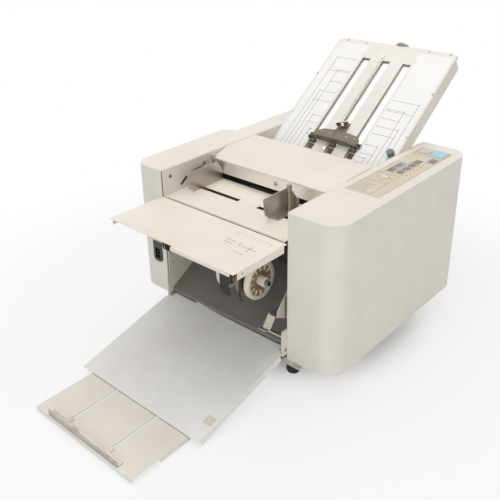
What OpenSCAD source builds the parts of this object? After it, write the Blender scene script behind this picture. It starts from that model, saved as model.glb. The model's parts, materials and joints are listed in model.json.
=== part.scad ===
// Friction-feed paper folding machine, in millimetres, standing on its feet.
// Inside the modules X runs left to right across the paper, Y front to rear and
// Z up. x = 0 is the middle of the paper path, y = 0 the front of the left cover
// and z = 0 the table top. seat() then puts the origin under the middle.

/* [Body] */
// Clear width between the two side covers
inner_w = 340; // [330:1:360]
// Width of the left cover
left_w = 85; // [80:1:95]
// Width of the right cover, which holds the drive
right_w = 115; // [110:1:130]
// Depth of the covers, front to rear
body_d = 512; // [500:1:530]
// Height of the top of the covers above the table
top_z = 384; // [380:1:390]
// Height of the lower edge of the right cover
right_low_z = 54; // [50:1:60]
// Height of the lower edge of the left cover
left_low_z = 84; // [78:1:88]
// How far the right cover sits behind the front of the left one
right_set_back = 10; // [6:1:14]
// Corner radius of the right cover, seen from above
right_corner_r = 42; // [30:1:48]
// Corner radius of the left cover, seen from above
left_corner_r = 34; // [25:1:38]
// Wall of the moulded covers
cover_wall = 3; // [2.5:0.5:4]
// How far the rear of the left cover steps in for the hand wheel
step_in = 30; // [28:1:32]
// Distance from the front to the step in the left cover
step_y = 276; // [270:1:284]

/* [Frame and feet] */
// Thickness of the two side frames
frame_t = 3; // [2:0.5:3]
// Height of the rubber feet
foot_h = 22; // [18:1:26]
// Diameter of the rubber feet
foot_d = 30; // [24:1:34]
// Sheet thickness of brackets and trays
sheet = 1.5; // [1:0.1:2]

/* [Feeding] */
// Height of the feed table
table_z = 325; // [321:1:327]
// Length of the folding front half of the feed table
flap_len = 148; // [130:1:160]
// Depth of the turned-down edges of the feed table
table_edge = 16; // [12:1:18]
// Depth of the step in the front edge of the table
table_step = 6; // [4:1:9]
// Radius of the feed roller
feed_r = 20; // [18:0.5:21]
// Height of the side guides above the table
guide_h = 48; // [44:1:52]
// Length of the side guides
guide_len = 104; // [94:1:104]
// Place of the left guide's inner face
guide_left_x = -134; // [-140:1:-120]
// Place of the right guide's inner face
guide_right_x = 79; // [72:1:84]

/* [Folding] */
// Distance between the axes of neighbouring fold rollers
roller_pitch = 32; // [32:1:32]
// Radius of the fold rollers
roller_r = 15.7; // [15:0.1:15.8]
// Radius of the roller shafts
shaft_r = 5; // [4:0.5:6]
// Number of teeth on each roller gear
gear_teeth = 20; // [20:1:20]
// Slope of the first fold plate above the horizontal
plate_angle = 35.7; // [34:0.1:37]
// Height of the upper end of the first fold plate
plate_top_z = 560; // [552:1:566]
// Distance from the front to the upper end of the first fold plate
plate_top_y = 655; // [648:1:662]
// Length of the first fold plate
plate_len = 430; // [415:1:440]
// Depth of the first fold plate's side walls
plate_depth = 34; // [28:1:38]
// Width of the three slots in the fold plate
slot_w = 22; // [18:1:24]
// Length of the slots
slot_len = 296; // [280:1:300]
// Distance of the fold stop from the lower end of the slots
stop_at = 34; // [26:1:60]

/* [Delivery] */
// Radius of the delivery wheels
wheel_r = 42; // [38:1:43]
// Width of a delivery wheel
wheel_w = 13; // [10:1:14]
// Height of the delivery shaft
delivery_z = 216; // [212:1:220]
// Slope of the delivery tray
tray_angle = 14; // [13.5:0.1:14.2]
// Length of the delivery tray
tray_len = 262; // [250:1:264]
// Width of the delivery tray
tray_w = 344; // [336:1:348]
// Depth of the tray's side walls
tray_edge = 13; // [10:0.5:13]
// Length of the tray extension in front of its hinge
ext_len = 176; // [170:1:180]
// Width of the tray extension
ext_w = 288; // [270:1:300]

/* [Control panel] */
// Width of the key panel
panel_w = 77; // [74:1:80]
// Length of the key panel
panel_len = 304; // [296:1:308]
// Distance from the front to the key panel
panel_y = 172; // [166:1:176]
// Thickness of the key panel
panel_t = 1.6; // [1.2:0.1:2]
// How far a key stands out of its panel
key_proud = 1.2; // [0.9:0.1:1.6]

/* [Hidden] */
$fn = 48;

// Gaps: a running fit on a radius, a gap between parts, a gap round keys
run = 0.05;
gap = 0.4;
seat_gap = 0.2;
belt_gap = 0.1;
key_gap = 0.5;

half = inner_w / 2;              // inner face of both covers
frame_in = half - frame_t;       // inner face of both side frames
left_x = -half - left_w;         // outer face of the left cover
right_x = half + right_w;        // outer face of the right cover

// Side frames and what stands under them
frame_y0 = 14;
left_frame_y0 = 4.4;
frame_y1 = body_d - 14;
frame_low_z = right_low_z + 6;
frame_top_z = top_z - 0.6;
bracket_w = 56;
bracket_d = 34;
foot_x = frame_in - 7;
foot_ys = [46, body_d - 62];

// Fold rollers, as [y, z]; each line of centres is a whole number of half teeth
module_mm = 2 * roller_pitch / (2 * gear_teeth);
function ahead(p, a, r) = [p[0] + r * cos(a), p[1] + r * sin(a)];
roller_2_at = [262, 280];
roller_1_at = ahead(roller_2_at, 99, roller_pitch);
roller_3_at = ahead(roller_2_at, -18, roller_pitch);
roller_4_at = ahead(roller_2_at, -99, roller_pitch);
rollers = [roller_1_at, roller_2_at, roller_3_at, roller_4_at];
tooth_at = [279, -18, 171, 81];
gear_x = half + 4;
gear_w = 8;
journal_r = shaft_r;
bush_r = journal_r + 4;
hand_teeth = 2 * gear_teeth;
hand_at = ahead(roller_3_at, 0, 1.5 * roller_pitch);
hand_gear_x = -half - 12;

// Feed roller, motor and delivery
feed_at = [182, table_z + 3 + feed_r];
motor_at = [150, 150];
motor_r = 38;
motor_pulley_r = 12;
drive_pulley_r = 24;
drive_belt_x = half + 22;
belt_w = 9;
belt_t = 2;
delivery_at = [8, delivery_z];
delivery_pulley_r = 20;
small_pulley_r = 10;
small_belt_w = 5;
feed_belt_x = -half - 16;
delivery_belt_x = -frame_in + 4.4;
wheel_xs = [100, 77, 25];
hub_x = [-3, 18];
hub_r = 11;
delivery_end_x = 126;

// First fold plate: s runs up the plate and t out of its upper face
plate_low_s = -plate_len;
slot_low_s = -350;
slot_xs = [-57, 0, 57];
plate_half = frame_in - 0.3;
function plate_yz(s, t) = [
  plate_top_y + s * cos(plate_angle) - t * sin(plate_angle),
  plate_top_z + s * sin(plate_angle) + t * cos(plate_angle)
];
stop_s = slot_low_s + stop_at;
stop_knob_s = stop_s + 47;
fine_x = 12;
fine_s = 7;
fine_t = -13.5;
fine_r = 20;

// Second fold plate, sloping down to the rear
plate2_angle = -42;
plate2_len = 205;
plate2_y = 294;
plate2_z = 240;

// Tray hinge and its extension's hinge, as [y, z]
tray_pin_r = 4;
// The tray slopes down as far as its length takes it to the height of its front edge
tray_front_z = 14.6165;
tray_pivot = [6, tray_front_z + tray_len * sin(tray_angle)];
tray_front_y = tray_pivot[0] - tray_len * cos(tray_angle);
ext_pin_y = tray_front_y + 42;
ext_pin_z = 17.2;
ext_pin_r = 3;
ext_front_y = ext_pin_y - ext_len;
ext_top_z = 12.6;
ext_travel = 110;
stop_half = 104;

// Front panel over the feed gap, top cover behind it and the cover's hinge
front_panel_y = 156;
front_panel_low = table_z + 14;
front_panel_top = top_z - 17;
cover_bend_y = front_panel_y + 50;
cover_rear_y = 305;
cover_hinge = [cover_rear_y - 8, top_z - 9];
arc_at = [108, 281];
arc_r = 74;

// Key panel
panel_x = half + 15;
panel_top_z = top_z + 0.6;
board_z = top_z - 14;
key_low_z = panel_top_z - panel_t - 1.7;
// Each small key as [x, y, length across X, length along Y]
small_keys = [
  [panel_x + 36, panel_y + 134, 11, 18],
  [panel_x + 36, panel_y + 158, 11, 18],
  [panel_x + 36, panel_y + 182, 11, 18],
  [panel_x + 36, panel_y + 206, 11, 18],
  [panel_x + 58, panel_y + 228, 13, 20]
];
start_key_at = [panel_x + 41, panel_y + 266, 30, 32];
stop_key_at = [panel_x + 8, panel_y + 270, 28, 22];
arrow_at = [panel_x + 30, panel_y + 98];
arrow_reach = 17;
arrow_w = 11;
display_at = [panel_x + 12, panel_y + 128, 18, 66];

ink = "#2b2b2b";
cream = "#ede5da";
cool_grey = "#cfd0d2";
steel = "#a39a8d";

// Shape helpers ------------------------------------------------------------

// A box given by its low and high corners
module block(lo, hi) {
  translate(lo) cube([hi[0] - lo[0], hi[1] - lo[1], hi[2] - lo[2]]);
}

// A cylinder along X between two places, at [y, z]
module bar_x(x0, x1, at, r) {
  translate([x0, at[0], at[1]]) rotate([0, 90, 0]) cylinder(r = r, h = x1 - x0);
}

// An outline in Y and Z, drawn out along X
module slab_x(x0, x1) {
  translate([x0, 0, 0]) rotate([90, 0, 90]) linear_extrude(x1 - x0) children();
}

// Places children in the fold plate's own frame: X across, Y up the plate
module on_plate() {
  translate([0, plate_top_y, plate_top_z]) rotate([plate_angle, 0, 0]) children();
}

// Places children in the tray's own frame: Y points to the rear, up the slope
module on_tray() {
  translate([0, tray_pivot[0], tray_pivot[1]]) rotate([tray_angle, 0, 0]) children();
}

// Places children in the second plate's own frame: Y runs down to the rear
module on_second_plate() {
  translate([0, plate2_y, plate2_z]) rotate([plate2_angle, 0, 0]) children();
}

// A rectangle from x = 0 to w whose two outer corners are round
module side_outline(w, y0, y1, r) {
  translate([0, y0 + r]) square([w, y1 - y0 - 2 * r]);
  translate([0, y0]) square([w - r, y1 - y0]);
  for (y = [y0 + r, y1 - r]) translate([w - r, y]) circle(r);
}

// A spur gear's outline with its first tooth at an angle
module gear_outline(teeth, first) {
  pitch_r = teeth * module_mm / 2;
  tip = pitch_r + 0.85 * module_mm;
  root = pitch_r - 1.15 * module_mm;
  circle(root + 0.01);
  for (i = [0 : teeth - 1])
    rotate(first + i * 360 / teeth)
      polygon([[root - 1, -1.45], [pitch_r, -1], [tip, -0.5],
               [tip, 0.5], [pitch_r, 1], [root - 1, 1.45]]);
}

// A belt round two pulleys, as an outline in Y and Z
module belt_outline(a, ra, b, rb) {
  difference() {
    hull() {
      translate(a) circle(ra + belt_gap + belt_t, $fn = 72);
      translate(b) circle(rb + belt_gap + belt_t, $fn = 72);
    }
    hull() {
      translate(a) circle(ra + belt_gap, $fn = 72);
      translate(b) circle(rb + belt_gap, $fn = 72);
    }
  }
}

// A flanged pulley on X, bored for its shaft
module pulley(x, w, at, r, bore) {
  difference() {
    union() {
      bar_x(x, x + w, at, r);
      bar_x(x - 2, x - 0.5, at, r + 3);
      bar_x(x + w + 0.5, x + w + 2, at, r + 3);
      bar_x(x - 2, x + w + 2, at, r - 1);
    }
    bar_x(x - 3, x + w + 3, at, bore);
  }
}

// Frame ----------------------------------------------------------------------

// Outline of a side frame, with holes for the shafts and the tray's pins
module frame_outline(y0) {
  difference() {
    union() {
      translate([y0, frame_low_z])
        square([frame_y1 - y0, frame_top_z - frame_low_z]);
      translate([tray_pivot[0] - 10, tray_pivot[1] - 12])
        square([frame_y0 - tray_pivot[0] + 12, 60]);
    }
    for (p = rollers) translate(p) circle(bush_r + run);
    translate(feed_at) circle(bush_r + run);
    translate(tray_pivot) circle(tray_pin_r + run);
  }
}

// The curved slot in the left frame, drawn as part of a ring
module arc_slot() {
  intersection() {
    difference() {
      circle(arc_r + 4);
      circle(arc_r - 4);
    }
    polygon([[0, 0], [-90, 92], [60, 110], [60, 100]]);
  }
}

screw_spots = [[24, 365], [128, 365], [336, 365]];

module left_side_frame() {
  color(cool_grey) difference() {
    union() {
      slab_x(-half, -frame_in) difference() {
        frame_outline(left_frame_y0);
        translate(hand_at) circle(bush_r + run);
        translate(arc_at) arc_slot();
      }
      // A lug in front of the frame's edge carries the delivery shaft
      slab_x(-half, -frame_in) translate([delivery_at[0] - 14, delivery_at[1] - 16])
        square([frame_y0 - delivery_at[0] + 15, 32]);
    }
    for (p = screw_spots) bar_x(-half - 1, -frame_in + 1, p, 2);
    bar_x(-half - 1, -frame_in + 1, delivery_at, bush_r + run);
  }
}

module right_side_frame() {
  color(cool_grey) difference() {
    slab_x(frame_in, half) frame_outline(frame_y0);
    for (p = screw_spots) bar_x(frame_in - 1, half + 1, p, 2);
  }
}

// Channels between the side frames: low front, low rear, under the table, rear
module cross_member(y, z, d, h, x1) {
  difference() {
    block([-x1, y, z], [x1, y + d, z + h]);
    block([-x1 + sheet, y + sheet, z - 1], [x1 - sheet, y + d - sheet, z + h - sheet]);
  }
}

module chassis() {
  x1 = frame_in - 0.02;
  floor_z = frame_low_z + 16.02;
  floor_x = frame_in - 0.04 - sheet;
  color(steel) {
    for (y = foot_ys) cross_member(y - 12, frame_low_z + 2, 34, 14, x1 - sheet - 0.02);
    cross_member(96, table_z - 22, 22, 16, x1);
    cross_member(frame_y1 - 24, 300, 20, 26, x1);
    cross_member(226, top_z - 32, 16, 14, x1);
  }
  // Floor of the machine, lying on the two lower channels
  color(steel) difference() {
    block([-floor_x, 22, floor_z], [floor_x, frame_y1 - 6, floor_z + sheet]);
    for (x = [-120 : 40 : 120], y = [200, 216, 232])
      block([x - 12, y, floor_z - 1], [x + 12, y + 6, floor_z + 3]);
  }
}

supply_x = [-150, -30];
supply_y = [262, 352];
supply_h = 46;
supply_slot = [5, 54, 12];
supply_rim = 12;

module power_supply() {
  z = frame_low_z + 16.04 + sheet;
  y = (supply_y[0] + supply_y[1] - supply_slot[1]) / 2;
  color("#a7abb0") difference() {
    block([supply_x[0], supply_y[0], z], [supply_x[1], supply_y[1], z + supply_h]);
    for (x = [supply_x[0] + supply_rim : supply_slot[2] : supply_x[1] - supply_rim])
      block([x, y, z + supply_h - 3], [x + supply_slot[0], y + supply_slot[1], z + supply_h + 1]);
  }
}

// Four folded brackets under the side frames, one to each foot
module foot_bracket(side, y) {
  x_in = foot_x - bracket_w / 2;
  x_wall = frame_in - 0.02 - sheet;
  mirror([side < 0 ? 1 : 0, 0, 0]) {
    difference() {
      block([x_in, y - bracket_d / 2, foot_h],
            [foot_x + bracket_w / 2, y + bracket_d / 2, foot_h + 2.5]);
      translate([foot_x, y, foot_h - 1]) cylinder(r = 3, h = 5);
    }
    block([x_wall, y - bracket_d / 2, foot_h + 2.4],
          [x_wall + sheet, y + bracket_d / 2, frame_low_z + 32]);
    for (e = [-1, 1]) translate([0, y + e * (bracket_d / 2 - sheet / 2) + sheet / 2, 0])
      rotate([90, 0, 0]) linear_extrude(sheet)
        polygon([[x_in + 2, foot_h + 2.4], [x_wall + 0.1, foot_h + 2.4],
                 [x_wall + 0.1, foot_h + 26]]);
  }
}

module foot_brackets() {
  color(cream) for (side = [-1, 1], y = foot_ys) foot_bracket(side, y);
}

module rubber_feet() {
  color(ink) for (side = [-1, 1], y = foot_ys) translate([side * foot_x, y, 0]) {
    difference() {
      union() {
        cylinder(r1 = foot_d / 2 - 1.5, r2 = foot_d / 2, h = 4);
        translate([0, 0, 4]) cylinder(r = foot_d / 2, h = foot_h - 4);
        translate([0, 0, foot_h]) cylinder(r = 2.9, h = 8);
      }
      translate([0, 0, -1]) cylinder(r = 3.5, h = 6);
    }
  }
}

// Covers ---------------------------------------------------------------------

module right_shape(inset) {
  translate([half + (inset > 0 ? -1 : gap), 0]) side_outline(
    right_w - inset - (inset > 0 ? -1 : gap), right_set_back + inset,
    body_d - inset, right_corner_r - inset);
}

module right_cover() {
  color(cream) difference() {
    translate([0, 0, right_low_z]) linear_extrude(top_z - right_low_z) right_shape(0);
    translate([0, 0, right_low_z + cover_wall])
      linear_extrude(top_z - right_low_z - 2 * cover_wall) right_shape(cover_wall);
    // Seat of the key panel, and the opening under it
    block([panel_x - gap, panel_y - gap, panel_top_z - panel_t],
          [panel_x + panel_w + gap, panel_y + panel_len + gap, top_z + 1]);
    block([panel_x + 4, panel_y + 4, top_z - 10],
          [panel_x + panel_w - 4, panel_y + panel_len - 4, top_z + 1]);
    // Cooling slots in the rear wall
    for (i = [0 : 7])
      block([half + 30, body_d - 8, 120 + i * 12], [half + 70, body_d + 1, 125 + i * 12]);
  }
  color(cream) for (p = screw_spots) cover_boss(p);
}

// A boss under the cover's top that takes a screw from the side frame
module cover_boss(p) {
  difference() {
    block([half + gap, p[0] - 7, p[1] - 7], [half + gap + 10, p[0] + 7, top_z - cover_wall + 1]);
    bar_x(half, half + gap + 8, p, 2);
  }
}

// The left cover is as wide as left_w in front and steps in behind step_y
module left_shape(inset) {
  w = left_w - inset;
  mirror([1, 0]) translate([half, 0]) {
    translate([inset > 0 ? -1 : gap, 0]) difference() {
      union() {
        side_outline(w - (inset > 0 ? -1 : gap), inset, step_y + 24 - inset, left_corner_r - inset);
        translate([0, step_y - 40])
          square([w - step_in - (inset > 0 ? -1 : gap), body_d - step_y + 40 - inset]);
      }
      // Round the rear outer corner of the narrow part
      translate([w - step_in - 10, body_d - inset - 10]) difference() {
        square([30, 30]);
        circle(10);
      }
    }
  }
}

// What a rounding of the lower outer edge takes away
module lower_edge(r) {
  x = left_x + edge_r;
  z = left_low_z + edge_r;
  difference() {
    block([x - edge_r - 1, -1, z - edge_r - 1], [x, body_d + 1, z]);
    translate([x, -2, z]) rotate([-90, 0, 0]) cylinder(r = r, h = body_d + 4);
  }
}

module left_cover() {
  color(cream) difference() {
    translate([0, 0, left_low_z]) linear_extrude(top_z - left_low_z) left_shape(0);
    lower_edge(edge_r);
    difference() {
      translate([0, 0, left_low_z + cover_wall])
        linear_extrude(top_z - left_low_z - 2 * cover_wall) left_shape(cover_wall);
      lower_edge(edge_r - cover_wall);
    }
    // Opening for the mains inlet, and the joint lines of its small panel
    translate([inlet_x, -1, inlet_z]) rotate([-90, 0, 0]) linear_extrude(cover_wall + 2) inlet_shape(0.3);
    block([inlet_x - 16, -1, inlet_z - 27], [-half, 0.6, inlet_z - 26.2]);
    block([inlet_x - 16, -1, inlet_z - 27], [inlet_x - 15.2, 0.6, inlet_z + 30]);
    block([inlet_x - 16, -1, inlet_z + 29.2], [-half, 0.6, inlet_z + 30]);
    // Opening for the power switch in the rear wall
    block([switch_x - 7.3, body_d - cover_wall - 1, switch_z - 11.3],
          [switch_x + 7.3, body_d + 1, switch_z + 11.3]);
    // Hole for the hand wheel's shaft
    bar_x(left_x - 1, -half - 10, hand_at, journal_r + 2);
  }
  color(cream) mirror([1, 0, 0]) for (p = screw_spots) cover_boss(p);
}

edge_r = 24;
inlet_x = -half - 26;
inlet_z = 181;
inlet_w = 25;
inlet_h = 46;
switch_x = -half - 26;
switch_z = 150;
switch_y = body_d - 6;

// A rectangle with two cut corners, the shape of a mains inlet
module inlet_shape(grow) {
  w = inlet_w / 2 + grow;
  h = inlet_h / 2 + grow;
  polygon([[-w, -h], [w, -h], [w, h - 6], [w - 6, h], [-w + 6, h], [-w, h - 6]]);
}

module power_socket() {
  color(ink) difference() {
    union() {
      translate([inlet_x, -1.5, inlet_z]) rotate([-90, 0, 0]) linear_extrude(24) inlet_shape(0);
      translate([inlet_x, -2.5, inlet_z]) rotate([-90, 0, 0]) linear_extrude(2) inlet_shape(1.5);
    }
    block([inlet_x - 8, -3, inlet_z - 17], [inlet_x + 8, 13, inlet_z + 8]);
  }
  // The three contacts
  color(steel) for (p = [[-4, -8], [4, -8], [0, 0]])
    block([inlet_x + p[0] - 1, -1, inlet_z + p[1] - 2], [inlet_x + p[0] + 1, 13.2, inlet_z + p[1] + 2]);
}

// Rocker of the power switch, on two small pins, and its housing
module power_switch() {
  color(ink) difference() {
    union() {
      block([switch_x - 7, body_d - 14, switch_z - 9.4], [switch_x + 7, body_d + 1.5, switch_z + 9.4]);
      bar_x(switch_x - 9, switch_x + 9, [switch_y, switch_z], 1.2);
    }
    translate([switch_x - 8, body_d + 4, switch_z - 1]) rotate([0, 90, 0]) cylinder(r = 4, h = 16);
  }
}

module mains_fittings() {
  power_socket();
  switch_housing();
}

module switch_housing() {
  y1 = body_d - cover_wall - 0.02;
  color(ink) difference() {
    block([switch_x - 9.4, y1 - 18, switch_z - 13.4], [switch_x + 9.4, y1, switch_z + 13.4]);
    block([switch_x - 7.2, y1 - 16, switch_z - 11.6], [switch_x + 7.2, y1 + 1, switch_z + 11.6]);
    bar_x(switch_x - 11, switch_x + 11, [switch_y, switch_z], 1.2 + run);
  }
}

// Top cover: one sheet with a folded front and rear edge, hinged at the rear
module top_cover() {
  w = frame_in - 1;
  y0 = front_panel_y;
  z0 = front_panel_top + seat_gap;
  color(cream) {
    slab_x(-w, w) polygon([
      [y0, z0], [y0, z0 + 3], [cover_bend_y, top_z], [cover_rear_y, top_z],
      [cover_rear_y, top_z - 22], [cover_rear_y - sheet, top_z - 22],
      [cover_rear_y - sheet, top_z - sheet], [cover_bend_y + 0.2, top_z - sheet],
      [y0 + sheet, z0 + 3 - 0.8], [y0 + sheet, z0]]);
    // Hinge lugs round the pins that the side frames carry
    for (x = [-w, w - 4]) difference() {
      union() {
        bar_x(x, x + 4, cover_hinge, 6);
        block([x, cover_hinge[0] - 6, cover_hinge[1]], [x + 4, cover_hinge[0] + 6, top_z - 1]);
      }
      bar_x(x - 1, x + 5, cover_hinge, 3 + run);
    }
  }
}

// Satin metal panel over the feed gap, with folded upper and lower lips
module front_panel() {
  w = frame_in - 0.02;
  y0 = front_panel_y;
  color("#cfc8c4") difference() {
    slab_x(-w, w) polygon([
      [y0, front_panel_low], [y0, front_panel_top], [y0 + 11, front_panel_top],
      [y0 + 11, front_panel_top - sheet], [y0 + sheet, front_panel_top - sheet],
      [y0 + sheet, front_panel_low + sheet], [y0 + 4.5, front_panel_low + sheet],
      [y0 + 4.5, front_panel_low]]);
    for (x = [-150, 20, 150]) translate([x, y0 - 1, front_panel_top - 13])
      rotate([-90, 0, 0]) cylinder(r = 2, h = 4);
  }
}

// Feeding --------------------------------------------------------------------

module rear_feed_table() {
  w = frame_in - 0.3;
  color("#f1e8db") {
    difference() {
      block([-w, 4, table_z - sheet], [w, 158, table_z]);
      // Slots that the side guides' blocks run in
      block([-w + 8, 84, table_z - 3], [-26, 96, table_z + 1]);
      block([26, 84, table_z - 3], [w - 8, 96, table_z + 1]);
    }
    for (x = [-w, w - sheet], y = [[16, 80], [120, 158]])
      block([x, y[0], table_z - table_edge], [x + sheet, y[1], table_z - sheet + 0.1]);
    // Raised bar along the table's front edge
    block([-w + 6, 4.5, table_z], [w - 6, 11, table_z + 2.2]);
  }
}

module feed_table_flap() {
  x0 = -half + 1;
  x1 = half + flap_past;
  color("#f5ece0") difference() {
    union() {
      block([x0, -flap_len, table_z - sheet], [x1, 0, table_z]);
      for (x = [x0, x1 - sheet])
        block([x, -flap_len + 12, table_z - table_edge], [x + sheet, -8, table_z - sheet]);
      block([x0 + 8, -flap_len, table_z - 8], [x1 - 10, -flap_len + sheet, table_z - sheet]);
      // Knuckles of the hinge
      for (x = [-120, 0, 120]) bar_x(x - 14, x + 14, flap_hinge, 3.2);
    }
    block([x0 - 1, -flap_len - 1, table_z - 9], [16, -flap_len + table_step, table_z + 1]);
    bar_x(x0 - 1, x1 + 1, [-flap_len + 24, table_z - 8], 2.2);
    bar_x(-150, 150, flap_hinge, 1.5 + run);
  }
}

flap_hinge = [-1.2, table_z - 4.8];
flap_past = 6;

// A slotted rail below the table that the side guides' blocks clamp to
module guide_rail() {
  x1 = frame_in - 0.02;
  color(steel) difference() {
    block([-x1, 82, table_z - 20], [x1, 86, table_z - 6]);
    for (x = [-120 : 30 : 120]) translate([x, 81, table_z - 13]) rotate([-90, 0, 0]) cylinder(r = 2, h = 6);
  }
  // Hinge pin of the front table, and its two carriers
  color(steel) bar_x(-148, 148, flap_hinge, 1.5);
  color(steel) for (x = [-146, 143]) difference() {
    block([x, flap_hinge[0] - 3, table_z - 8], [x + 3, 84, table_z - 6]);
  }
}

// A side guide: upright plate, foot, stem and the block that runs in the slot
module side_guide(x, side, stem_y, rear_y, rear_cut, wing_y) {
  y0 = guide_y0;
  z0 = table_z + seat_gap;
  color(steel) translate([x, 0, 0]) mirror([side < 0 ? 1 : 0, 0, 0]) {
    slab_x(0, sheet) polygon([
      [y0 + 12, z0], [y0, z0 + 12], [y0 - 5, z0 + guide_h - 3], [y0 - 2, z0 + guide_h],
      [rear_y - rear_cut, z0 + guide_h], [rear_y, z0 + guide_h - 26], [rear_y, z0]]);
    difference() {
      block([0, y0 + 16, z0], [22, stem_y + 9, z0 + sheet]);
      translate([stem_out, stem_y, z0 - 1]) cylinder(r = 3 + run, h = 4);
    }
    // Outer wing, folded away from the sheets
    slab_x_wing(wing_y, z0);
    block([2, 85, table_z - 3], [10, 95, z0 + 0.1]);
    block([0, 86.5, table_z - 12], [18, 95, table_z - 2.5]);
  }
}

guide_y0 = 50;
left_stem_y = 139;
right_stem_y = 112;
stem_out = 13;

// The wing of a side guide, a sheet across the table behind the stem
module slab_x_wing(y, z0) {
  translate([0, y + sheet, 0]) rotate([90, 0, 0]) linear_extrude(sheet)
    polygon([[0, z0], [0, z0 + guide_h - 2], [12, z0 + guide_h - 6],
             [28, z0 + guide_h - 22], [28, z0 + 8], [20, z0]]);
}

module left_side_guide() {
  side_guide(guide_left_x, -1, left_stem_y, guide_y0 + guide_len, 16, left_stem_y - 14);
}
module right_side_guide() {
  side_guide(guide_right_x, 1, right_stem_y, right_stem_y + 12 + sheet, 0, right_stem_y + 12);
}

// Tall clamp screw with a knurled head, standing in the guide's foot
module guide_knob(x, stem_y) {
  z0 = table_z + seat_gap;
  color(steel) translate([x, stem_y, 0]) {
    translate([0, 0, z0]) cylinder(r = 3, h = guide_h + 2);
    translate([0, 0, z0 + sheet + 0.2]) cylinder(r = 5, h = 2);
    difference() {
      translate([0, 0, z0 + guide_h + 1]) cylinder(r = 5.4, h = 12);
      for (a = [0 : 24 : 336]) rotate(a) translate([5.9, 0, z0 + guide_h]) cylinder(r = 0.8, h = 14);
    }
  }
}
module left_guide_knob() { guide_knob(guide_left_x - stem_out, left_stem_y); }
module right_guide_knob() { guide_knob(guide_right_x + stem_out, right_stem_y); }

module feed_roller() {
  color(steel) bar_x(feed_belt_x - 3, half + 6, feed_at, journal_r);
  color(ink) pulley(feed_belt_x, small_belt_w, feed_at, small_pulley_r, journal_r + 0.02);
  color(ink) for (x = [-46, 10]) difference() {
    bar_x(x, x + 30, feed_at, feed_r);
    bar_x(x - 1, x + 31, feed_at, journal_r + 0.02);
  }
}

pad_x = [-60, 50];
pad_y = [-18, 14];
carrier_y = [-22, 20];

module separator_pad() {
  y = feed_at[0];
  color("#2b2927") block([pad_x[0], y + pad_y[0], table_z - 4.02], [pad_x[1], y + pad_y[1], table_z + 1.5]);
  color(steel) difference() {
    block([-frame_in + 0.02, y + carrier_y[0], table_z - 9],
          [frame_in - 0.02, y + carrier_y[1], table_z - 4]);
    block([-frame_in + 3, y + carrier_y[0] + 3, table_z - 10],
          [frame_in - 3, y + carrier_y[1] - 3, table_z - 5.5]);
  }
}

// Folding --------------------------------------------------------------------

// A ground roller on its shaft, with its gear on the right
module fold_roller(i) {
  at = rollers[i];
  color("#8d8a86") difference() {
    union() {
      bar_x(-frame_in + 15, frame_in - 6, at, roller_r);
      bar_x(-half - 6, gear_x + gear_w + 3, at, journal_r);
    }
    // Shallow grooves round the roller
    for (x = [-130 : 52 : 130]) difference() {
      bar_x(x - 3, x + 3, at, roller_r + 1);
      bar_x(x - 4, x + 4, at, roller_r - 1);
    }
  }
  color("#e4dfd2") slab_x(gear_x, gear_x + gear_w) difference() {
    translate(at) gear_outline(gear_teeth, tooth_at[i]);
    translate(at) circle(journal_r + 0.02);
  }
}

module fold_roller_1() {
  fold_roller(0);
  color(steel) bar_x(feed_belt_x - 3, -half - 6.01, rollers[0], journal_r - 1);
  color(ink) pulley(feed_belt_x, small_belt_w, rollers[0], small_pulley_r, journal_r - 0.98);
}

module fold_roller_2() {
  fold_roller(1);
  color(steel) bar_x(gear_x + gear_w + 3.01, drive_belt_x + belt_w + 6, rollers[1], journal_r - 1);
  color(ink) pulley(drive_belt_x, belt_w, rollers[1], drive_pulley_r, journal_r - 0.98);
  color(ink) pulley(delivery_belt_x, small_belt_w, rollers[1], small_pulley_r, journal_r + 0.02);
}

module fold_roller_3() {
  fold_roller(2);
  color(steel) bar_x(hand_gear_x - 3, -half - 6.01, rollers[2], journal_r - 1);
  color("#e4dfd2") slab_x(hand_gear_x, hand_gear_x + 5) difference() {
    translate(rollers[2]) gear_outline(gear_teeth, 0);
    translate(rollers[2]) circle(journal_r - 0.98);
  }
}

module fold_roller_4() { fold_roller(3); }

// Flanged bushes that the shafts turn in, in both side frames
module bush(x, side, at) {
  x0 = side > 0 ? x : x - frame_t;
  difference() {
    union() {
      bar_x(x0, x0 + frame_t, at, bush_r);
      bar_x(side > 0 ? x0 + frame_t : x0 - 1.6, side > 0 ? x0 + frame_t + 1.6 : x0, at, bush_r + 2.5);
    }
    bar_x(x0 - 3, x0 + frame_t + 3, at, journal_r + run);
  }
}

module bearing_bushes() {
  color("#b08d4f") {
    for (p = concat(rollers, [feed_at])) {
      bush(frame_in, 1, p);
      bush(-frame_in, -1, p);
    }
    bush(-half, 1, delivery_at);
    bush(-frame_in, -1, hand_at);
  }
}

module motor() {
  at = motor_at;
  color("#4a4c50") difference() {
    union() {
      bar_x(half + 44, half + right_w - cover_wall - 8, at, motor_r);
      block([half + 40, at[0] - 42, at[1] - 42], [half + 44.1, at[0] + 42, at[1] + 42]);
    }
    bar_x(half + 39, half + 48, at, 7);
  }
  // Three spacers hold the motor's plate to the side frame
  color(steel) for (p = [[-36, -36], [36, -36], [-36, 36]])
    bar_x(half + 0.02, half + 40.1, [at[0] + p[0], at[1] + p[1]], 4);
}

module motor_pulley() {
  color(steel) bar_x(drive_belt_x - 3, half + 47.9, motor_at, 4);
  color(ink) pulley(drive_belt_x, belt_w, motor_at, motor_pulley_r, 4.02);
}

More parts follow.
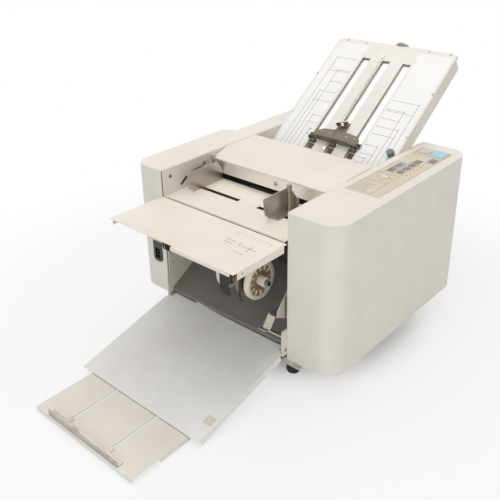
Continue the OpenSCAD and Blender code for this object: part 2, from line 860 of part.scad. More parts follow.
// The belts from the motor to the rollers, to the feed roller and to the delivery
module drive_belts() {
  color("#35312c") {
    slab_x(drive_belt_x + 0.4, drive_belt_x + belt_w - 0.4)
      belt_outline(motor_at, motor_pulley_r, rollers[1], drive_pulley_r);
    slab_x(feed_belt_x + 0.4, feed_belt_x + small_belt_w - 0.4)
      belt_outline(feed_at, small_pulley_r, rollers[0], small_pulley_r);
    slab_x(delivery_belt_x + 0.4, delivery_belt_x + small_belt_w - 0.4)
      belt_outline(rollers[1], small_pulley_r, delivery_at, delivery_pulley_r);
  }
}

// Upper sheet of the first fold plate, with its three slots
module fold_plate_sheet() {
  color("#efe9e2") on_plate() difference() {
    linear_extrude(sheet) difference() {
      union() {
        translate([-plate_half, plate_low_s]) square([2 * plate_half, plate_len - 14]);
        translate([-plate_half + 14, -20]) square([2 * plate_half - 28, 20]);
        for (side = [-1, 1]) translate([side * (plate_half - 14), -14]) circle(14);
      }
      for (x = slot_xs) translate([x - slot_w / 2, slot_low_s]) square([slot_w, slot_len]);
    }
  }
}

// Side walls, end wall and lower sheet: the tray that the sheet closes
module fold_plate_frame() {
  low = -0.02 - plate_depth;
  floor_z = -8;
  color("#d8cfc0") on_plate() difference() {
    union() {
      for (x = [-plate_half, plate_half - 2])
        block([x, plate_low_s + 66, low], [x + 2, -14, -0.02]);
      block([-plate_half + 14, -2, low + 10], [plate_half - 14, 0, -0.02]);
      difference() {
        block([-plate_half + 2, plate_low_s, floor_z - sheet], [plate_half - 2, -2, floor_z]);
        for (x = slot_xs)
          block([x - slot_w / 2, slot_low_s, floor_z - 3],
                [x + slot_w / 2, slot_low_s + slot_len, floor_z + 1]);
      }
      // Runners that hold the two sheets apart
      for (x = [-plate_half + 2, plate_half - 8]) block([x, plate_low_s + 10, floor_z], [x + 6, -2, -0.02]);
    }
    // Hole for the fine adjuster's screw in the end wall
    translate([fine_x, -4, fine_t]) rotate([-90, 0, 0]) cylinder(r = 3 + run, h = 8);
  }
}

// Sliding stop: a folded bridge on the sheet with a tab down each slot
module fold_stop() {
  y = stop_s;
  t0 = sheet + seat_gap;
  color("#7e705f") on_plate() {
    difference() {
      union() {
        block([-72, y - 4, t0], [72, y + 10, t0 + 2]);
        block([-13, y + 6, t0], [13, stop_knob_s + 12, t0 + 2]);
      }
      for (x = [-40, 40]) translate([x, y + 4, 0]) cylinder(r = 2.5, h = 8);
      translate([0, stop_knob_s, 0]) cylinder(r = 3 + run, h = 8);
    }
    // Upright front, with four round holes
    difference() {
      translate([0, y - 2, 0]) rotate([90, 0, 0]) linear_extrude(2)
        polygon([[-72, t0], [72, t0], [72, 9], [40, 22], [-40, 22], [-72, 9]]);
      for (x = [-48, -20, 20, 48]) translate([x, y, 12]) rotate([90, 0, 0]) cylinder(r = 2.6, h = 10);
    }
  }
  // The tabs that meet the paper between the sheets
  color(ink) on_plate() for (x = slot_xs)
    block([x - 7, y - 12, -6.5], [x + 7, y - 3.6, t0 + 4]);
}

// Wing knob that clamps the fold stop
module fold_stop_knob() {
  t0 = sheet + seat_gap + 2 + seat_gap;
  color("#b9b2a6") on_plate() translate([0, stop_knob_s, 0]) {
    translate([0, 0, t0]) cylinder(r = 6, h = 8);
    translate([0, 0, -4]) cylinder(r = 3, h = t0 + 5);
    for (a = [20, 200]) rotate(a) block([3, -1.5, t0 + 3], [15, 1.5, t0 + 17]);
  }
}

// Fine adjuster: a knurled disc that looks over the plate's upper edge
module fine_adjust_knob() {
  color("#4a4540") on_plate() translate([fine_x, 0, fine_t]) rotate([-90, 0, 0]) {
    translate([0, 0, -16]) cylinder(r = 3, h = 16 + fine_s);
    difference() {
      translate([0, 0, fine_s - 6]) cylinder(r = fine_r, h = 6);
      for (a = [7.5 : 15 : 352.5]) rotate(a)
        translate([fine_r + 0.6, 0, fine_s - 7]) cylinder(r = 1.2, h = 8);
    }
  }
}

// Knob that locks the fold plate to the machine
module plate_lock_knob() {
  color("#7f8c98") on_plate() translate([plate_half - 14, slot_low_s + 38, sheet + 0.2]) {
    cylinder(r = 4, h = 4);
    translate([0, 0, 4]) cylinder(r1 = 9, r2 = 8, h = 9);
  }
}

module second_fold_plate() {
  w = frame_in - 3;
  color("#d8cfc0") on_second_plate() {
    for (z = [0, -9]) difference() {
      block([-w, 0, z - sheet], [w, plate2_len, z]);
      block([-9, 24, z - 3], [9, plate2_len - 20, z + 1]);
    }
    for (x = [-w, w - 5]) block([x, 0, -9], [x + 5, plate2_len, -sheet]);
    // Ears that reach the side frames
    for (x = [-frame_in + 0.02, w - 0.1]) for (y = [20, plate2_len - 40])
      block([x, y, -9], [x + frame_in - w + 0.08, y + 16, -sheet]);
  }
}

module second_fold_stop() {
  color("#7e705f") on_second_plate() {
    block([-30, 108, seat_gap], [30, 122, 2.5]);
    block([-8, 110, -8.5], [8, 120, 0.5]);
    translate([0, 115, 2.4]) cylinder(r = 8, h = 8);
  }
}

// Hand wheel on its own short shaft, geared to the third roller
module hand_wheel() {
  x0 = left_x + step_in - 3;
  color(steel) bar_x(x0 - 14, -frame_in - 0.02, hand_at, journal_r);
  color("#e4dfd2") slab_x(hand_gear_x, hand_gear_x + 5) difference() {
    translate(hand_at) gear_outline(hand_teeth, 4.5);
    translate(hand_at) circle(journal_r + 0.02);
  }
  color(ink) difference() {
    bar_x(x0 - 16, x0 - 2, hand_at, 30);
    bar_x(x0 - 13, x0 - 1, hand_at, journal_r + 0.02);
    for (a = [0 : 20 : 340]) translate([x0 - 17, hand_at[0], hand_at[1]])
      rotate([a, 0, 0]) translate([0, 31, 0]) rotate([0, 90, 0]) cylinder(r = 2.2, h = 20);
  }
}

// Delivery -------------------------------------------------------------------

module delivery_shaft() {
  color("#3a3835") {
    bar_x(-half + 0.2, delivery_end_x, delivery_at, journal_r);
  }
  color(ink) pulley(delivery_belt_x, small_belt_w, delivery_at, delivery_pulley_r, journal_r + 0.02);
}

// A moulded wheel: rim, web with radial ribs and a long hub
module delivery_wheel(x) {
  slab_x(x - 2, x + 2) difference() {
    translate(delivery_at) circle(wheel_r - 5);
    translate(delivery_at) circle(journal_r + 0.02);
  }
  difference() {
    bar_x(x - wheel_w / 2, x + wheel_w / 2, delivery_at, wheel_r);
    bar_x(x - wheel_w, x + wheel_w, delivery_at, wheel_r - 9);
  }
  difference() {
    bar_x(x + hub_x[0], x + hub_x[1], delivery_at, hub_r);
    bar_x(x + hub_x[0] - 1, x + hub_x[1] + 1, delivery_at, journal_r + 0.02);
  }
  for (a = [0 : 360 / 12 : 359])
    translate([x, delivery_at[0], delivery_at[1]]) rotate([a, 0, 0])
      block([1.9, wheel_r - 20, -1], [5, wheel_r - 8, 1]);
}

module delivery_wheels() {
  color("#dcd3c0") for (x = wheel_xs) delivery_wheel(x);
}

// Black hanger from the upper channel that carries the shaft's free end
hanger_xs = [62, -30];

module delivery_hanger() {
  color(ink) {
    for (x = hanger_xs) difference() {
      slab_x(x, x + 3) union() {
        translate([delivery_at[0] - 12, delivery_at[1] - 12])
          square([24, table_z - 21 - delivery_at[1] + 12]);
        translate([delivery_at[0] - 12, table_z - 31]) square([95.98 - delivery_at[0] + 12, 10]);
      }
      bar_x(x - 1, x + 4, delivery_at, journal_r + run);
    }
  }
}

// Thin black film strips on a rod, which hang down in front of the delivery shaft
film_at = [24, 284];
film_xs = [34, 85.5];
film_ws = [25, 6];
// How far the strips reach forward and hang down, at two bends and at their ends
film_run = [44, 62, 62, 56];
film_drop = [16, 50, 88, 106];

module film_strips() {
  y = film_at[0];
  z = film_at[1];
  color("#1d1d1f") for (i = [0, 1])
    slab_x(film_xs[i], film_xs[i] + film_ws[i]) polygon([
      [y, z + 3.2], [y - film_run[0], z - film_drop[0] + 0.4],
      [y - film_run[1] - 0.3, z - film_drop[1] + 0.4], [y - film_run[2] - 0.6, z - film_drop[2]],
      [y - film_run[3] - 0.6, z - film_drop[3]], [y - film_run[3], z - film_drop[3]],
      [y - film_run[2], z - film_drop[2]], [y - film_run[1] + 0.4, z - film_drop[1]],
      [y - film_run[0] + 0.4, z - film_drop[0] - 0.4], [y + 0.5, z + 2.4]]);
  color(steel) bar_x(-frame_in + 0.02, frame_in - 3.04, film_at, 3);
}

module inner_panel() {
  color(ink) slab_x(frame_in - 3.02, frame_in - 0.02)
    polygon([[26, 107], [110, 158], [110, table_z - 24], [26, table_z - 24]]);
}

// Sloping floor that hands the folded sheets on to the tray
module delivery_chute() {
  w = frame_in - 0.3;
  z = tray_pivot[1];
  color("#8b857c") {
    slab_x(-w, w) polygon([
      [12, z + 14], [150, 176], [250, 205], [250, 203.4], [150.6, 174.4],
      [13, z + 12.4], [12, z + 6], [10.4, z + 6], [10.4, z + 14.4]]);
    // Rear wall of the delivery space
    block([-w, 250, 120], [w, 251.5, 208]);
  }
}

// Stainless bracket at the right of the delivery, with its two blades
module exit_bracket() {
  x1 = frame_in - 0.02;
  color(steel) {
    slab_x(x1 - sheet, x1) polygon([
      [16, 214], [-16, 180], [-18, 166], [14, 150], [24, 150], [24, 214]]);
    block([x1 - 22, -17, 165], [x1 - sheet, 12, 166.5]);
    slab_x(x1 - 26, x1 - 8) polygon([
      [-12, 165.2], [-30, 140], [-44, 146], [-44.8, 144.6], [-29, 138], [-10.4, 165.2]]);
    bar_x(x1 - 60, x1, [14, tray_pivot[1] + 20], 3);
  }
}

// Delivery tray: sheet with turned-down sides, hinged on pins at its rear.
// Two wedge plates below it carry level slots for the extension's pins
module delivery_tray() {
  w = tray_w / 2;
  color("#d9d3c8") {
    on_tray() difference() {
      union() {
        block([-w, -tray_len, 0], [w, -14, sheet]);
        block([-frame_in + 1.6, -16, 0], [frame_in - 1.6, 4, sheet]);
        for (x = [-w, w - sheet]) block([x, -tray_len + 6, -tray_edge], [x + sheet, -20, 0.1]);
        // Ears on the tray's hinge pins, inside the side frames
        for (x = [-frame_in + 1.6, frame_in - 3.6]) {
          block([x, -16, -6.5], [x + 2, 4, 0.1]);
          bar_x(x, x + 2, [0, 0], 7);
        }
      }
      for (x = [-half, frame_in - 8]) {
        bar_x(x, x + 11, [0, 0], tray_pin_r + run);
        block([x, -7.5, -0.05], [x + 11, 9, 9]);
      }
    }
    for (x = [-ext_w / 2 - 3.4, ext_w / 2 + 1.4]) difference() {
      slab_x(x, x + 2) polygon([
        [ext_pin_y - 12, 9], [ext_pin_y + ext_travel + 12, 9],
        [ext_pin_y + ext_travel + 12, tray_under(ext_pin_y + ext_travel + 12)],
        [ext_pin_y - 12, tray_under(ext_pin_y - 12)]]);
      level_slot(x);
    }
  }
}

// Height of the tray's lower face at a distance y from the front
function tray_under(y) = tray_pivot[1] + (y - tray_pivot[0]) * tan(tray_angle) + 0.3;

module level_slot(x) {
  r = ext_pin_r + run;
  for (y = [ext_pin_y, ext_pin_y + ext_travel]) bar_x(x - 1, x + 3, [y, ext_pin_z], r);
  block([x - 1, ext_pin_y, ext_pin_z - r], [x + 3, ext_pin_y + ext_travel, ext_pin_z + r]);
}

// Two pins fixed in the side frames that the tray hangs on
module screws_and_pins() {
  cover_screws();
  color("#8a8378") for (side = [-1, 1]) mirror([side < 0 ? 1 : 0, 0, 0]) {
    bar_x(frame_in - 6, half + 0.2, tray_pivot, tray_pin_r);
    bar_x(frame_in - 6, frame_in - 4, tray_pivot, 6);
  }
  // Two pins that the top cover turns on
  color("#8a8378") for (side = [-1, 1]) mirror([side < 0 ? 1 : 0, 0, 0])
    bar_x(frame_in - 6, frame_in - 0.02, cover_hinge, 3);
}

// Extension: a flat sheet on four pins that run in the tray's level slots
module tray_extension() {
  w = ext_w / 2;
  z1 = ext_top_z;
  y1 = ext_pin_y;
  color("#e9e1d6") {
    difference() {
      block([-w, ext_front_y, z1 - sheet], [w, y1 - 24, z1]);
      // Two slots for the end stop's clamps
      for (x = [-60, 60]) block([x - 3, ext_front_y + 14, z1 - 4], [x + 3, y1 - 40, z1 + 1]);
    }
    block([-w, ext_front_y, 2.6], [w, ext_front_y + sheet, z1]);
    for (x = [-w, w - sheet]) {
      block([x, ext_front_y + 66, 2.6], [x + sheet, y1 - 24, z1]);
      slab_x(x, x + sheet) polygon([
        [y1 - 32, 2.6], [y1 + 6, 2.6], [y1 + 6, ext_pin_z + 4], [y1 - 6, ext_pin_z + 4], [y1 - 32, z1]]);
    }
    // Cross bar that joins the two arms behind
    block([-w, y1 + 1, 4], [w, y1 + 6, 8]);
  }
  color("#8a8378") for (side = [-1, 1]) mirror([side < 0 ? 1 : 0, 0, 0])
    bar_x(w - sheet - 2, w + 3.4, [y1, ext_pin_z], ext_pin_r);
}

// End stop: an angle strip on top of the extension, clamped through the slots
module end_stop() {
  y0 = ext_front_y + 2;
  z1 = ext_top_z + seat_gap;
  color("#cfcdca") {
    block([-stop_half, y0, z1], [stop_half, y0 + sheet, z1 + 14]);
    block([-stop_half, y0, z1], [stop_half, y0 + 14, z1 + sheet]);
    for (x = [-60, 60]) {
      block([x - 6, y0 + 13, z1], [x + 6, y0 + 24, z1 + sheet]);
      block([x - 2.4, y0 + 14, z1 - 4.5], [x + 2.4, y0 + 22, z1 + 0.1]);
    }
  }
  color("#4a433b") {
    block([-24, y0 + 0.1, z1 + 13.9], [-12, y0 + 1.4, z1 + 20]);
    for (x = [stop_half - 30, stop_half - 8])
      translate([x, y0 + 0.1, z1 + 8]) rotate([90, 0, 0]) cylinder(r = 2, h = 1.2);
  }
}

// Controls -------------------------------------------------------------------

// A hole through the panel for a key of [x, y, width, length]
module key_hole(k) {
  block([k[0] - key_gap, k[1] - key_gap, top_z - 4],
        [k[0] + k[2] + key_gap, k[1] + k[3] + key_gap, top_z + 4]);
}

module arrow_shape(grow) {
  for (a = [0, 90]) rotate(a) square([2 * arrow_reach + 2 * grow, arrow_w + 2 * grow], center = true);
}

module control_panel() {
  color("#dccfb8") difference() {
    block([panel_x, panel_y, panel_top_z - panel_t], [panel_x + panel_w, panel_y + panel_len, panel_top_z]);
    for (k = small_keys) key_hole(k);
    key_hole(start_key_at);
    key_hole(stop_key_at);
    translate([arrow_at[0], arrow_at[1], top_z - 4]) linear_extrude(8) arrow_shape(key_gap);
    block([display_at[0], display_at[1], top_z - 4],
          [display_at[0] + display_at[2], display_at[1] + display_at[3], top_z + 4]);
  }
}

module display_window() {
  color("#a89f93") {
    block([display_at[0] + 0.02, display_at[1] + 0.02, panel_top_z - panel_t - 0.1],
          [display_at[0] + display_at[2] - 0.02, display_at[1] + display_at[3] - 0.02, panel_top_z - 0.3]);
    block([display_at[0] - 2, display_at[1] - 2, board_z + 1.62],
          [display_at[0] + display_at[2] + 2, display_at[1] + display_at[3] + 2,
           panel_top_z - panel_t - 0.01]);
  }
}

// Rounded key cap with a collar below the panel
module key_cap(k, shade) {
  r = 2;
  color(shade) translate([k[0], k[1], key_low_z]) {
    linear_extrude(panel_top_z + key_proud - key_low_z) {
      translate([r, 0]) square([k[2] - 2 * r, k[3]]);
      translate([0, r]) square([k[2], k[3] - 2 * r]);
      for (x = [r, k[2] - r], y = [r, k[3] - r]) translate([x, y]) circle(r);
    }
    translate([-1.2, -1.2, 0]) cube([k[2] + 2.4, k[3] + 2.4, 1.5]);
  }
}

module start_key() { key_cap(start_key_at, "#afd9e0"); }
module stop_key() { key_cap(stop_key_at, "#cfcfc6"); }
module key_1() { key_cap(small_keys[0], "#8f8b86"); }
module key_2() { key_cap(small_keys[1], "#8f8b86"); }
module key_3() { key_cap(small_keys[2], "#8f8b86"); }
module key_4() { key_cap(small_keys[3], "#8f8b86"); }
module key_5() { key_cap(small_keys[4], "#8f8b86"); }

module arrow_pad() {
  color("#e6ddcc") translate([arrow_at[0], arrow_at[1], key_low_z])
    linear_extrude(panel_top_z + key_proud - key_low_z) arrow_shape(0);
}

// Board with its push switches, on four posts under the right cover
module circuit_board() {
  x0 = panel_x + 2;
  y0 = panel_y + 70;
  x1 = panel_x + panel_w - 2;
  y1 = panel_y + panel_len + 4;
  color("#3f6b4a") block([x0, y0, board_z], [x1, y1, board_z + 1.6]);
  color(ink) {
    for (k = concat(small_keys, [start_key_at, stop_key_at]))
      translate([k[0] + k[2] / 2, k[1] + k[3] / 2, board_z + 1.6])
        cylinder(r = 3, h = key_low_z - board_z - 1.6 - 1.2);
    translate([arrow_at[0], arrow_at[1], board_z + 1.6])
      cylinder(r = 3, h = key_low_z - board_z - 1.6 - 1.2);
  }
  // Posts up to the cover's top wall
  color(cream) for (x = [x0 + 1, x1 - 1], y = [y0 + 10, y1 - 10])
    translate([x, y, board_z + 1.6]) cylinder(r = 1, h = top_z - cover_wall - board_z - 1.6 - 0.01);
}

// Slotted screws in the side frames' inner faces
module cover_screws() {
  color("#8a8378") for (side = [-1, 1], p = screw_spots) mirror([side < 0 ? 1 : 0, 0, 0]) difference() {
    union() {
      bar_x(frame_in - 2, frame_in - 0.01, p, 4);
      bar_x(frame_in - 0.02, half + gap + 6, p, 1.95);
    }
    block([frame_in - 3, p[0] - 4, p[1] - 0.5], [frame_in - 1, p[0] + 4, p[1] + 0.5]);
  }
}

// Everything is moved so that the origin lies on the table under the middle
front_y = ext_front_y;
rear_y = plate_yz(fine_s, fine_t - fine_r)[0];
mid_x = (left_x + right_x) / 2;
mid_y = (front_y + rear_y) / 2;
module seat() { translate([-mid_x, -mid_y, 0]) children(); }

seat() left_side_frame();
seat() right_side_frame();
seat() chassis();
seat() foot_brackets();
seat() rubber_feet();
seat() left_cover();
seat() right_cover();
seat() top_cover();
seat() front_panel();
seat() rear_feed_table();
seat() feed_table_flap();
seat() guide_rail();
seat() left_side_guide();
seat() right_side_guide();
seat() left_guide_knob();
seat() right_guide_knob();
seat() feed_roller();
seat() separator_pad();
seat() fold_roller_1();
seat() fold_roller_2();
seat() fold_roller_3();
seat() fold_roller_4();
seat() bearing_bushes();
seat() motor();
seat() motor_pulley();
seat() drive_belts();
seat() delivery_shaft();
seat() delivery_wheels();
seat() delivery_hanger();
seat() film_strips();
seat() delivery_chute();
seat() exit_bracket();
seat() delivery_tray();
seat() tray_extension();
seat() end_stop();
seat() fold_plate_sheet();
seat() fold_plate_frame();
seat() fold_stop();
seat() fold_stop_knob();
seat() fine_adjust_knob();
seat() plate_lock_knob();
seat() second_fold_plate();
seat() second_fold_stop();
seat() hand_wheel();
seat() circuit_board();
seat() control_panel();
seat() display_window();
seat() start_key();
seat() stop_key();
seat() arrow_pad();
seat() key_1();
seat() key_2();
seat() key_3();
seat() key_4();
seat() key_5();
seat() mains_fittings();
seat() power_switch();
seat() screws_and_pins();
seat() inner_panel();
seat() power_supply();
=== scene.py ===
# %% [markdown]
# # A desktop paper folding machine
# Sheets lie on a table at the front, a rubber roller pulls them in one by one, steel
# rollers fold them against two fold plates, and a shaft with wheels hands them down
# a sloping tray. The frame brings every solid of the machine in its real place. This
# notebook gives each of them its finish, and rebuilds the ones whose edges, printing
# and small parts are seen. It starts by loading that frame.

# %% Load the frame
import bpy, bmesh, json, math
from mathutils import Matrix, Vector


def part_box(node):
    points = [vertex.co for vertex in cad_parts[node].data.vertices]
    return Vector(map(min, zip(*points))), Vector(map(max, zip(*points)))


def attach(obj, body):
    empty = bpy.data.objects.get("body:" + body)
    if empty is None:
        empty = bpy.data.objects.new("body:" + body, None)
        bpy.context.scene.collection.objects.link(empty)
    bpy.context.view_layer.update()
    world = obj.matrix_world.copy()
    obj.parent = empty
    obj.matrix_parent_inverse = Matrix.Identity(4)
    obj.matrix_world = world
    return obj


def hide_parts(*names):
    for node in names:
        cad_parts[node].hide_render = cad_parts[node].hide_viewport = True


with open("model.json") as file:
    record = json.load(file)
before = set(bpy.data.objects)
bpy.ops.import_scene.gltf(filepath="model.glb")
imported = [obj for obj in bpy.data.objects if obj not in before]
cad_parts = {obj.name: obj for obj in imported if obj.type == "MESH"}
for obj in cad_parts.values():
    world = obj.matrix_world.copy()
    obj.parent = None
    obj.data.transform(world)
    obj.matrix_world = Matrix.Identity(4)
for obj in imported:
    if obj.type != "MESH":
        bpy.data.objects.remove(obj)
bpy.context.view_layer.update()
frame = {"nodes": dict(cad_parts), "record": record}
BODY_OF = {node: body for body, nodes in frame["record"]["behaviour"]["bodies"].items()
           for node in nodes}

# %% [markdown]
# ## A ruler that follows the machine
# The machine was measured from the middle of its paper path and from the front of its
# left casing. The frame has its origin elsewhere, under the middle of the whole thing,
# so the offset between the two is read from two solids whose faces are known. After
# that a place can be given in plain millimetres, as on a workshop drawing.

# %% Millimetres from the middle of the paper path
FRAME_OUTER = 170  # outer face of the right side frame
MM = 0.001
offset = Vector((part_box("right_side_frame")[1][0] - FRAME_OUTER * MM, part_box("left_cover")[0][1], 0))


def at(x, y, z):
    """A place in metres, from millimetres across, back and up."""
    return offset + Vector((x, y, z)) * MM


def frame_at(x, y, z, tilt=0):
    """A tilted local frame, whose Y runs up a plate or back along a tray."""
    return Matrix.Translation(at(x, y, z)) @ Matrix.Rotation(math.radians(tilt), 4, "X") @ Matrix.Scale(MM, 4)


MACHINE = frame_at(0, 0, 0)
print("offset of the paper path, mm:", [round(v / MM, 2) for v in offset])

# %% [markdown]
# ## Colour and nodes
# Paint charts give colours as sRGB hex values, while Blender's shaders want linear
# light. One function turns the first into the second. Another adds a shader node with
# its settings and links in a single call, which keeps each finish below readable.

# %% Turn a paint chart's hex value into linear light
def linear(hex_value):
    """The sRGB curve, undone channel by channel."""
    channels = [int(hex_value[i:i + 2], 16) / 255 for i in (1, 3, 5)]
    return [c / 12.92 if c <= 0.04045 else ((c + 0.055) / 1.055) ** 2.4 for c in channels] + [1]


print("cream enamel in linear light:", [round(c, 3) for c in linear("#EDE5DA")])


# %% Add one node with its settings and links
def add(owner, kind, settings=None, **links):
    """Adds a node. Settings are attributes, socket values or the stops of a colour ramp.
    Links are sockets fed by others, by name or, as in i0, by number."""
    tree = owner.node_tree
    node = tree.nodes.new(kind)
    for key, value in (settings or {}).items():
        if key == "stops":
            for stop, (position, hex_value) in zip(node.color_ramp.elements, value):
                stop.position, stop.color = position, linear(hex_value)
        elif hasattr(node, key):
            setattr(node, key, value)
        else:
            node.inputs[key].default_value = value
    for key, source in links.items():
        numbered = key[0] == "i" and key[1:].isdigit()
        tree.links.new(source, node.inputs[int(key[1:]) if numbered else key.replace("_", " ")])
    return node


finishes = []


def new_finish(name):
    """An empty material with only its output left."""
    material = bpy.data.materials.new(name)
    material.use_nodes = True
    for node in list(material.node_tree.nodes):
        if node.type != "OUTPUT_MATERIAL":
            material.node_tree.nodes.remove(node)
    finishes.append(material)
    return material


def wire_out(material, shader):
    """Leads a shader to the material's output."""
    out = next(n for n in material.node_tree.nodes if n.type == "OUTPUT_MATERIAL")
    material.node_tree.links.new(shader.outputs[0], out.inputs["Surface"])
    return material


print("node helpers ready")

# %% [markdown]
# ## Powder coat
# The top cover, tables and trays are sheet steel with a baked powder coat. The powder
# melts into a skin with a fine orange peel, about a millimetre from hump to hump, and
# it darkens faintly in patches where it is handled. A Voronoi or a wave could draw that
# peel, but noise has the same soft, uneven humps and costs little. The peel goes into
# bump and roughness, and the handling into the colour.

# %% Powder coat finish
def powder_coat(name, hex_value, handled_hex, peel_mm=1.2, rough=0.5, patch_mm=140):
    """A baked coat on sheet steel, with its peel and its handled patches."""
    m = new_finish(name)
    place = add(m, "ShaderNodeTexCoord").outputs["Object"]
    peel = add(m, "ShaderNodeTexNoise",
               {"Scale": 1 / (peel_mm * MM), "Detail": 3, "Roughness": 0.5}, Vector=place)
    cloud = add(m, "ShaderNodeTexNoise",
                {"Scale": 1 / (patch_mm * MM), "Detail": 4, "Roughness": 0.6}, Vector=place)
    tint = add(m, "ShaderNodeValToRGB",
               {"stops": ((0.3, handled_hex), (0.62, hex_value))}, Fac=cloud.outputs["Fac"])
    gloss = add(m, "ShaderNodeMapRange",
                {"To Min": rough - 0.06, "To Max": rough + 0.07}, Value=peel.outputs["Fac"])
    bump = add(m, "ShaderNodeBump", {"Strength": 0.1, "Distance": 0.05 * MM}, Height=peel.outputs["Fac"])
    return wire_out(m, add(m, "ShaderNodeBsdfPrincipled", {"IOR": 1.5}, Base_Color=tint.outputs[0],
                           Roughness=gloss.outputs[0], Normal=bump.outputs[0]))


CREAM = powder_coat("powder_coat_cream", "#EFE7DC", "#E9E0D3")
TABLE_CREAM = powder_coat("powder_coat_table", "#F3EADD", "#ECE2D2", 1.0, 0.46)
TRAY_GREY = powder_coat("powder_coat_tray", "#F1EEE8", "#EAE5DE", 1.4, 0.5)
CHUTE_GREY = powder_coat("powder_coat_chute", "#7F7971", "#736D65", 2.2, 0.55)
PLATE_WHITE = powder_coat("powder_coat_fold_plate", "#EDE8E1", "#E6DFD5", 1.0, 0.45)
BRONZE_COAT = powder_coat("powder_coat_bronze", "#7C6E5E", "#6B5E50", 1.0, 0.42)
MOTOR_COAT = powder_coat("powder_coat_motor", "#4C4E53", "#3E4045", 1.6, 0.45)
BEHIND_CREAM = powder_coat("powder_coat_frame", "#E6DFD3", "#DDD5C8", 1.2, 0.5)
print("finishes so far, all powder coats:", len(finishes))

# %% [markdown]
# ## Moulded plastic
# The two big casings are moulded in ABS with a spark-eroded texture: a very fine
# grit of some 0.6 mm that breaks up the highlight. Where hands rub it the texture
# polishes a little. The grit is too fine to show from across a room, so it is drawn
# near 0.9 mm. The same recipe gives the black fittings, the keys and knobs, the lacquer
# of the circuit board and, with almost no depth, printed film, labels and inks.

# %% Moulded plastic finish
def moulded_plastic(name, hex_value, worn_hex, grit_mm=0.9, rough=0.48, depth=0.12, patch_mm=90):
    """A moulding with the grit of its mould, polished in patches by hands."""
    m = new_finish(name)
    place = add(m, "ShaderNodeTexCoord").outputs["Object"]
    grit = add(m, "ShaderNodeTexVoronoi", {"Scale": 1 / (grit_mm * MM)}, Vector=place)
    hands = add(m, "ShaderNodeTexNoise",
                {"Scale": 1 / (patch_mm * MM), "Detail": 5, "Roughness": 0.62}, Vector=place)
    tint = add(m, "ShaderNodeValToRGB",
               {"stops": ((0.32, worn_hex), (0.66, hex_value))}, Fac=hands.outputs["Fac"])
    gloss = add(m, "ShaderNodeMapRange",
                {"To Min": rough - 0.08, "To Max": rough + 0.06}, Value=hands.outputs["Fac"])
    bump = add(m, "ShaderNodeBump",
               {"Strength": depth, "Distance": 0.04 * MM}, Height=grit.outputs["Distance"])
    return wire_out(m, add(m, "ShaderNodeBsdfPrincipled", {"IOR": 1.53}, Base_Color=tint.outputs[0],
                           Roughness=gloss.outputs[0], Normal=bump.outputs[0]))


CASING = moulded_plastic("moulded_abs_cream", "#EEE7DD", "#E8E0D4")
BLACK = moulded_plastic("moulded_nylon_black", "#262626", "#343331", 1.2, 0.42)
NYLON = moulded_plastic("moulded_nylon_cream", "#E9E2D2", "#DDD4C0", 1.5, 0.4)
NYLON_TAN = moulded_plastic("moulded_nylon_tan", "#9C8763", "#86724F", 1.5, 0.45)
# The webs of the delivery wheels, drawn a darker tan than their rims
WEB_TAN = moulded_plastic("moulded_nylon_web_tan", "#A38B66", "#8C7550", 1.8, 0.5)
GREY_KEY = moulded_plastic("key_cap_grey", "#8F8B86", "#85817B", 0.8, 0.5)
BLUE_KEY = moulded_plastic("key_cap_blue", "#AFD9E0", "#A3CFD8", 0.8, 0.5)
PALE_KEY = moulded_plastic("key_cap_pale", "#CFCFC6", "#C6C6BC", 0.8, 0.5)
ARROW_KEY = moulded_plastic("key_cap_cream", "#EAE2D2", "#DFD6C4", 0.8, 0.5)
LOCK_BLUE = moulded_plastic("moulded_knob_blue_grey", "#66717C", "#5A6570", 0.8, 0.4)
GREY_KNOB = moulded_plastic("moulded_knob_grey", "#A8A39A", "#98938A", 1.0, 0.38)
BOARD_GREEN = moulded_plastic("circuit_board_lacquer", "#3F6B4A", "#355E41", 2.0, 0.35)
print("finishes with the moulded plastics:", len(finishes))

# %% [markdown]
# ## Brushed and satin metal
# The guides and brackets are stainless sheet, brushed along one direction. Brushing
# leaves scratches some tenths of a millimetre apart and centimetres long, which draw
# a highlight out into a streak. Stretching a noise along one axis gives just that. The
# scratches are drawn 0.6 to 1.4 mm apart, coarse enough to show. The stretch is a
# mapping of object coordinates, so no unwrapping is needed. Plated steel and sintered
# bronze have no direction, so theirs isn't stretched.

# %% Brushed metal finish
# How far each axis is squeezed, which stretches the noise along it
ACROSS, BACK, TURNED, EVENLY = (0.03, 1, 1), (1, 0.03, 1), (0.04, 1, 1), (1, 1, 1)


def brushed_metal(name, hex_value, dull_hex, along=BACK, rough=0.34, scratch_mm=0.8, patch_mm=45):
    """Bare metal with scratches along one axis and duller patches."""
    m = new_finish(name)
    place = add(m, "ShaderNodeTexCoord").outputs["Object"]
    drawn = add(m, "ShaderNodeMapping", {"Scale": along}, Vector=place)
    scratch = add(m, "ShaderNodeTexNoise",
                  {"Scale": 1 / (scratch_mm * MM), "Detail": 4, "Roughness": 0.6}, Vector=drawn.outputs[0])
    cloud = add(m, "ShaderNodeTexNoise", {"Scale": 1 / (patch_mm * MM), "Detail": 3}, Vector=place)
    tint = add(m, "ShaderNodeValToRGB",
               {"stops": ((0.3, dull_hex), (0.7, hex_value))}, Fac=cloud.outputs["Fac"])
    gloss = add(m, "ShaderNodeMapRange",
                {"To Min": rough - 0.1, "To Max": rough + 0.12}, Value=scratch.outputs["Fac"])
    bump = add(m, "ShaderNodeBump",
               {"Strength": 0.14, "Distance": 0.02 * MM}, Height=scratch.outputs["Fac"])
    return wire_out(m, add(m, "ShaderNodeBsdfPrincipled", {"Metallic": 1.0}, Base_Color=tint.outputs[0],
                           Roughness=gloss.outputs[0], Normal=bump.outputs[0]))


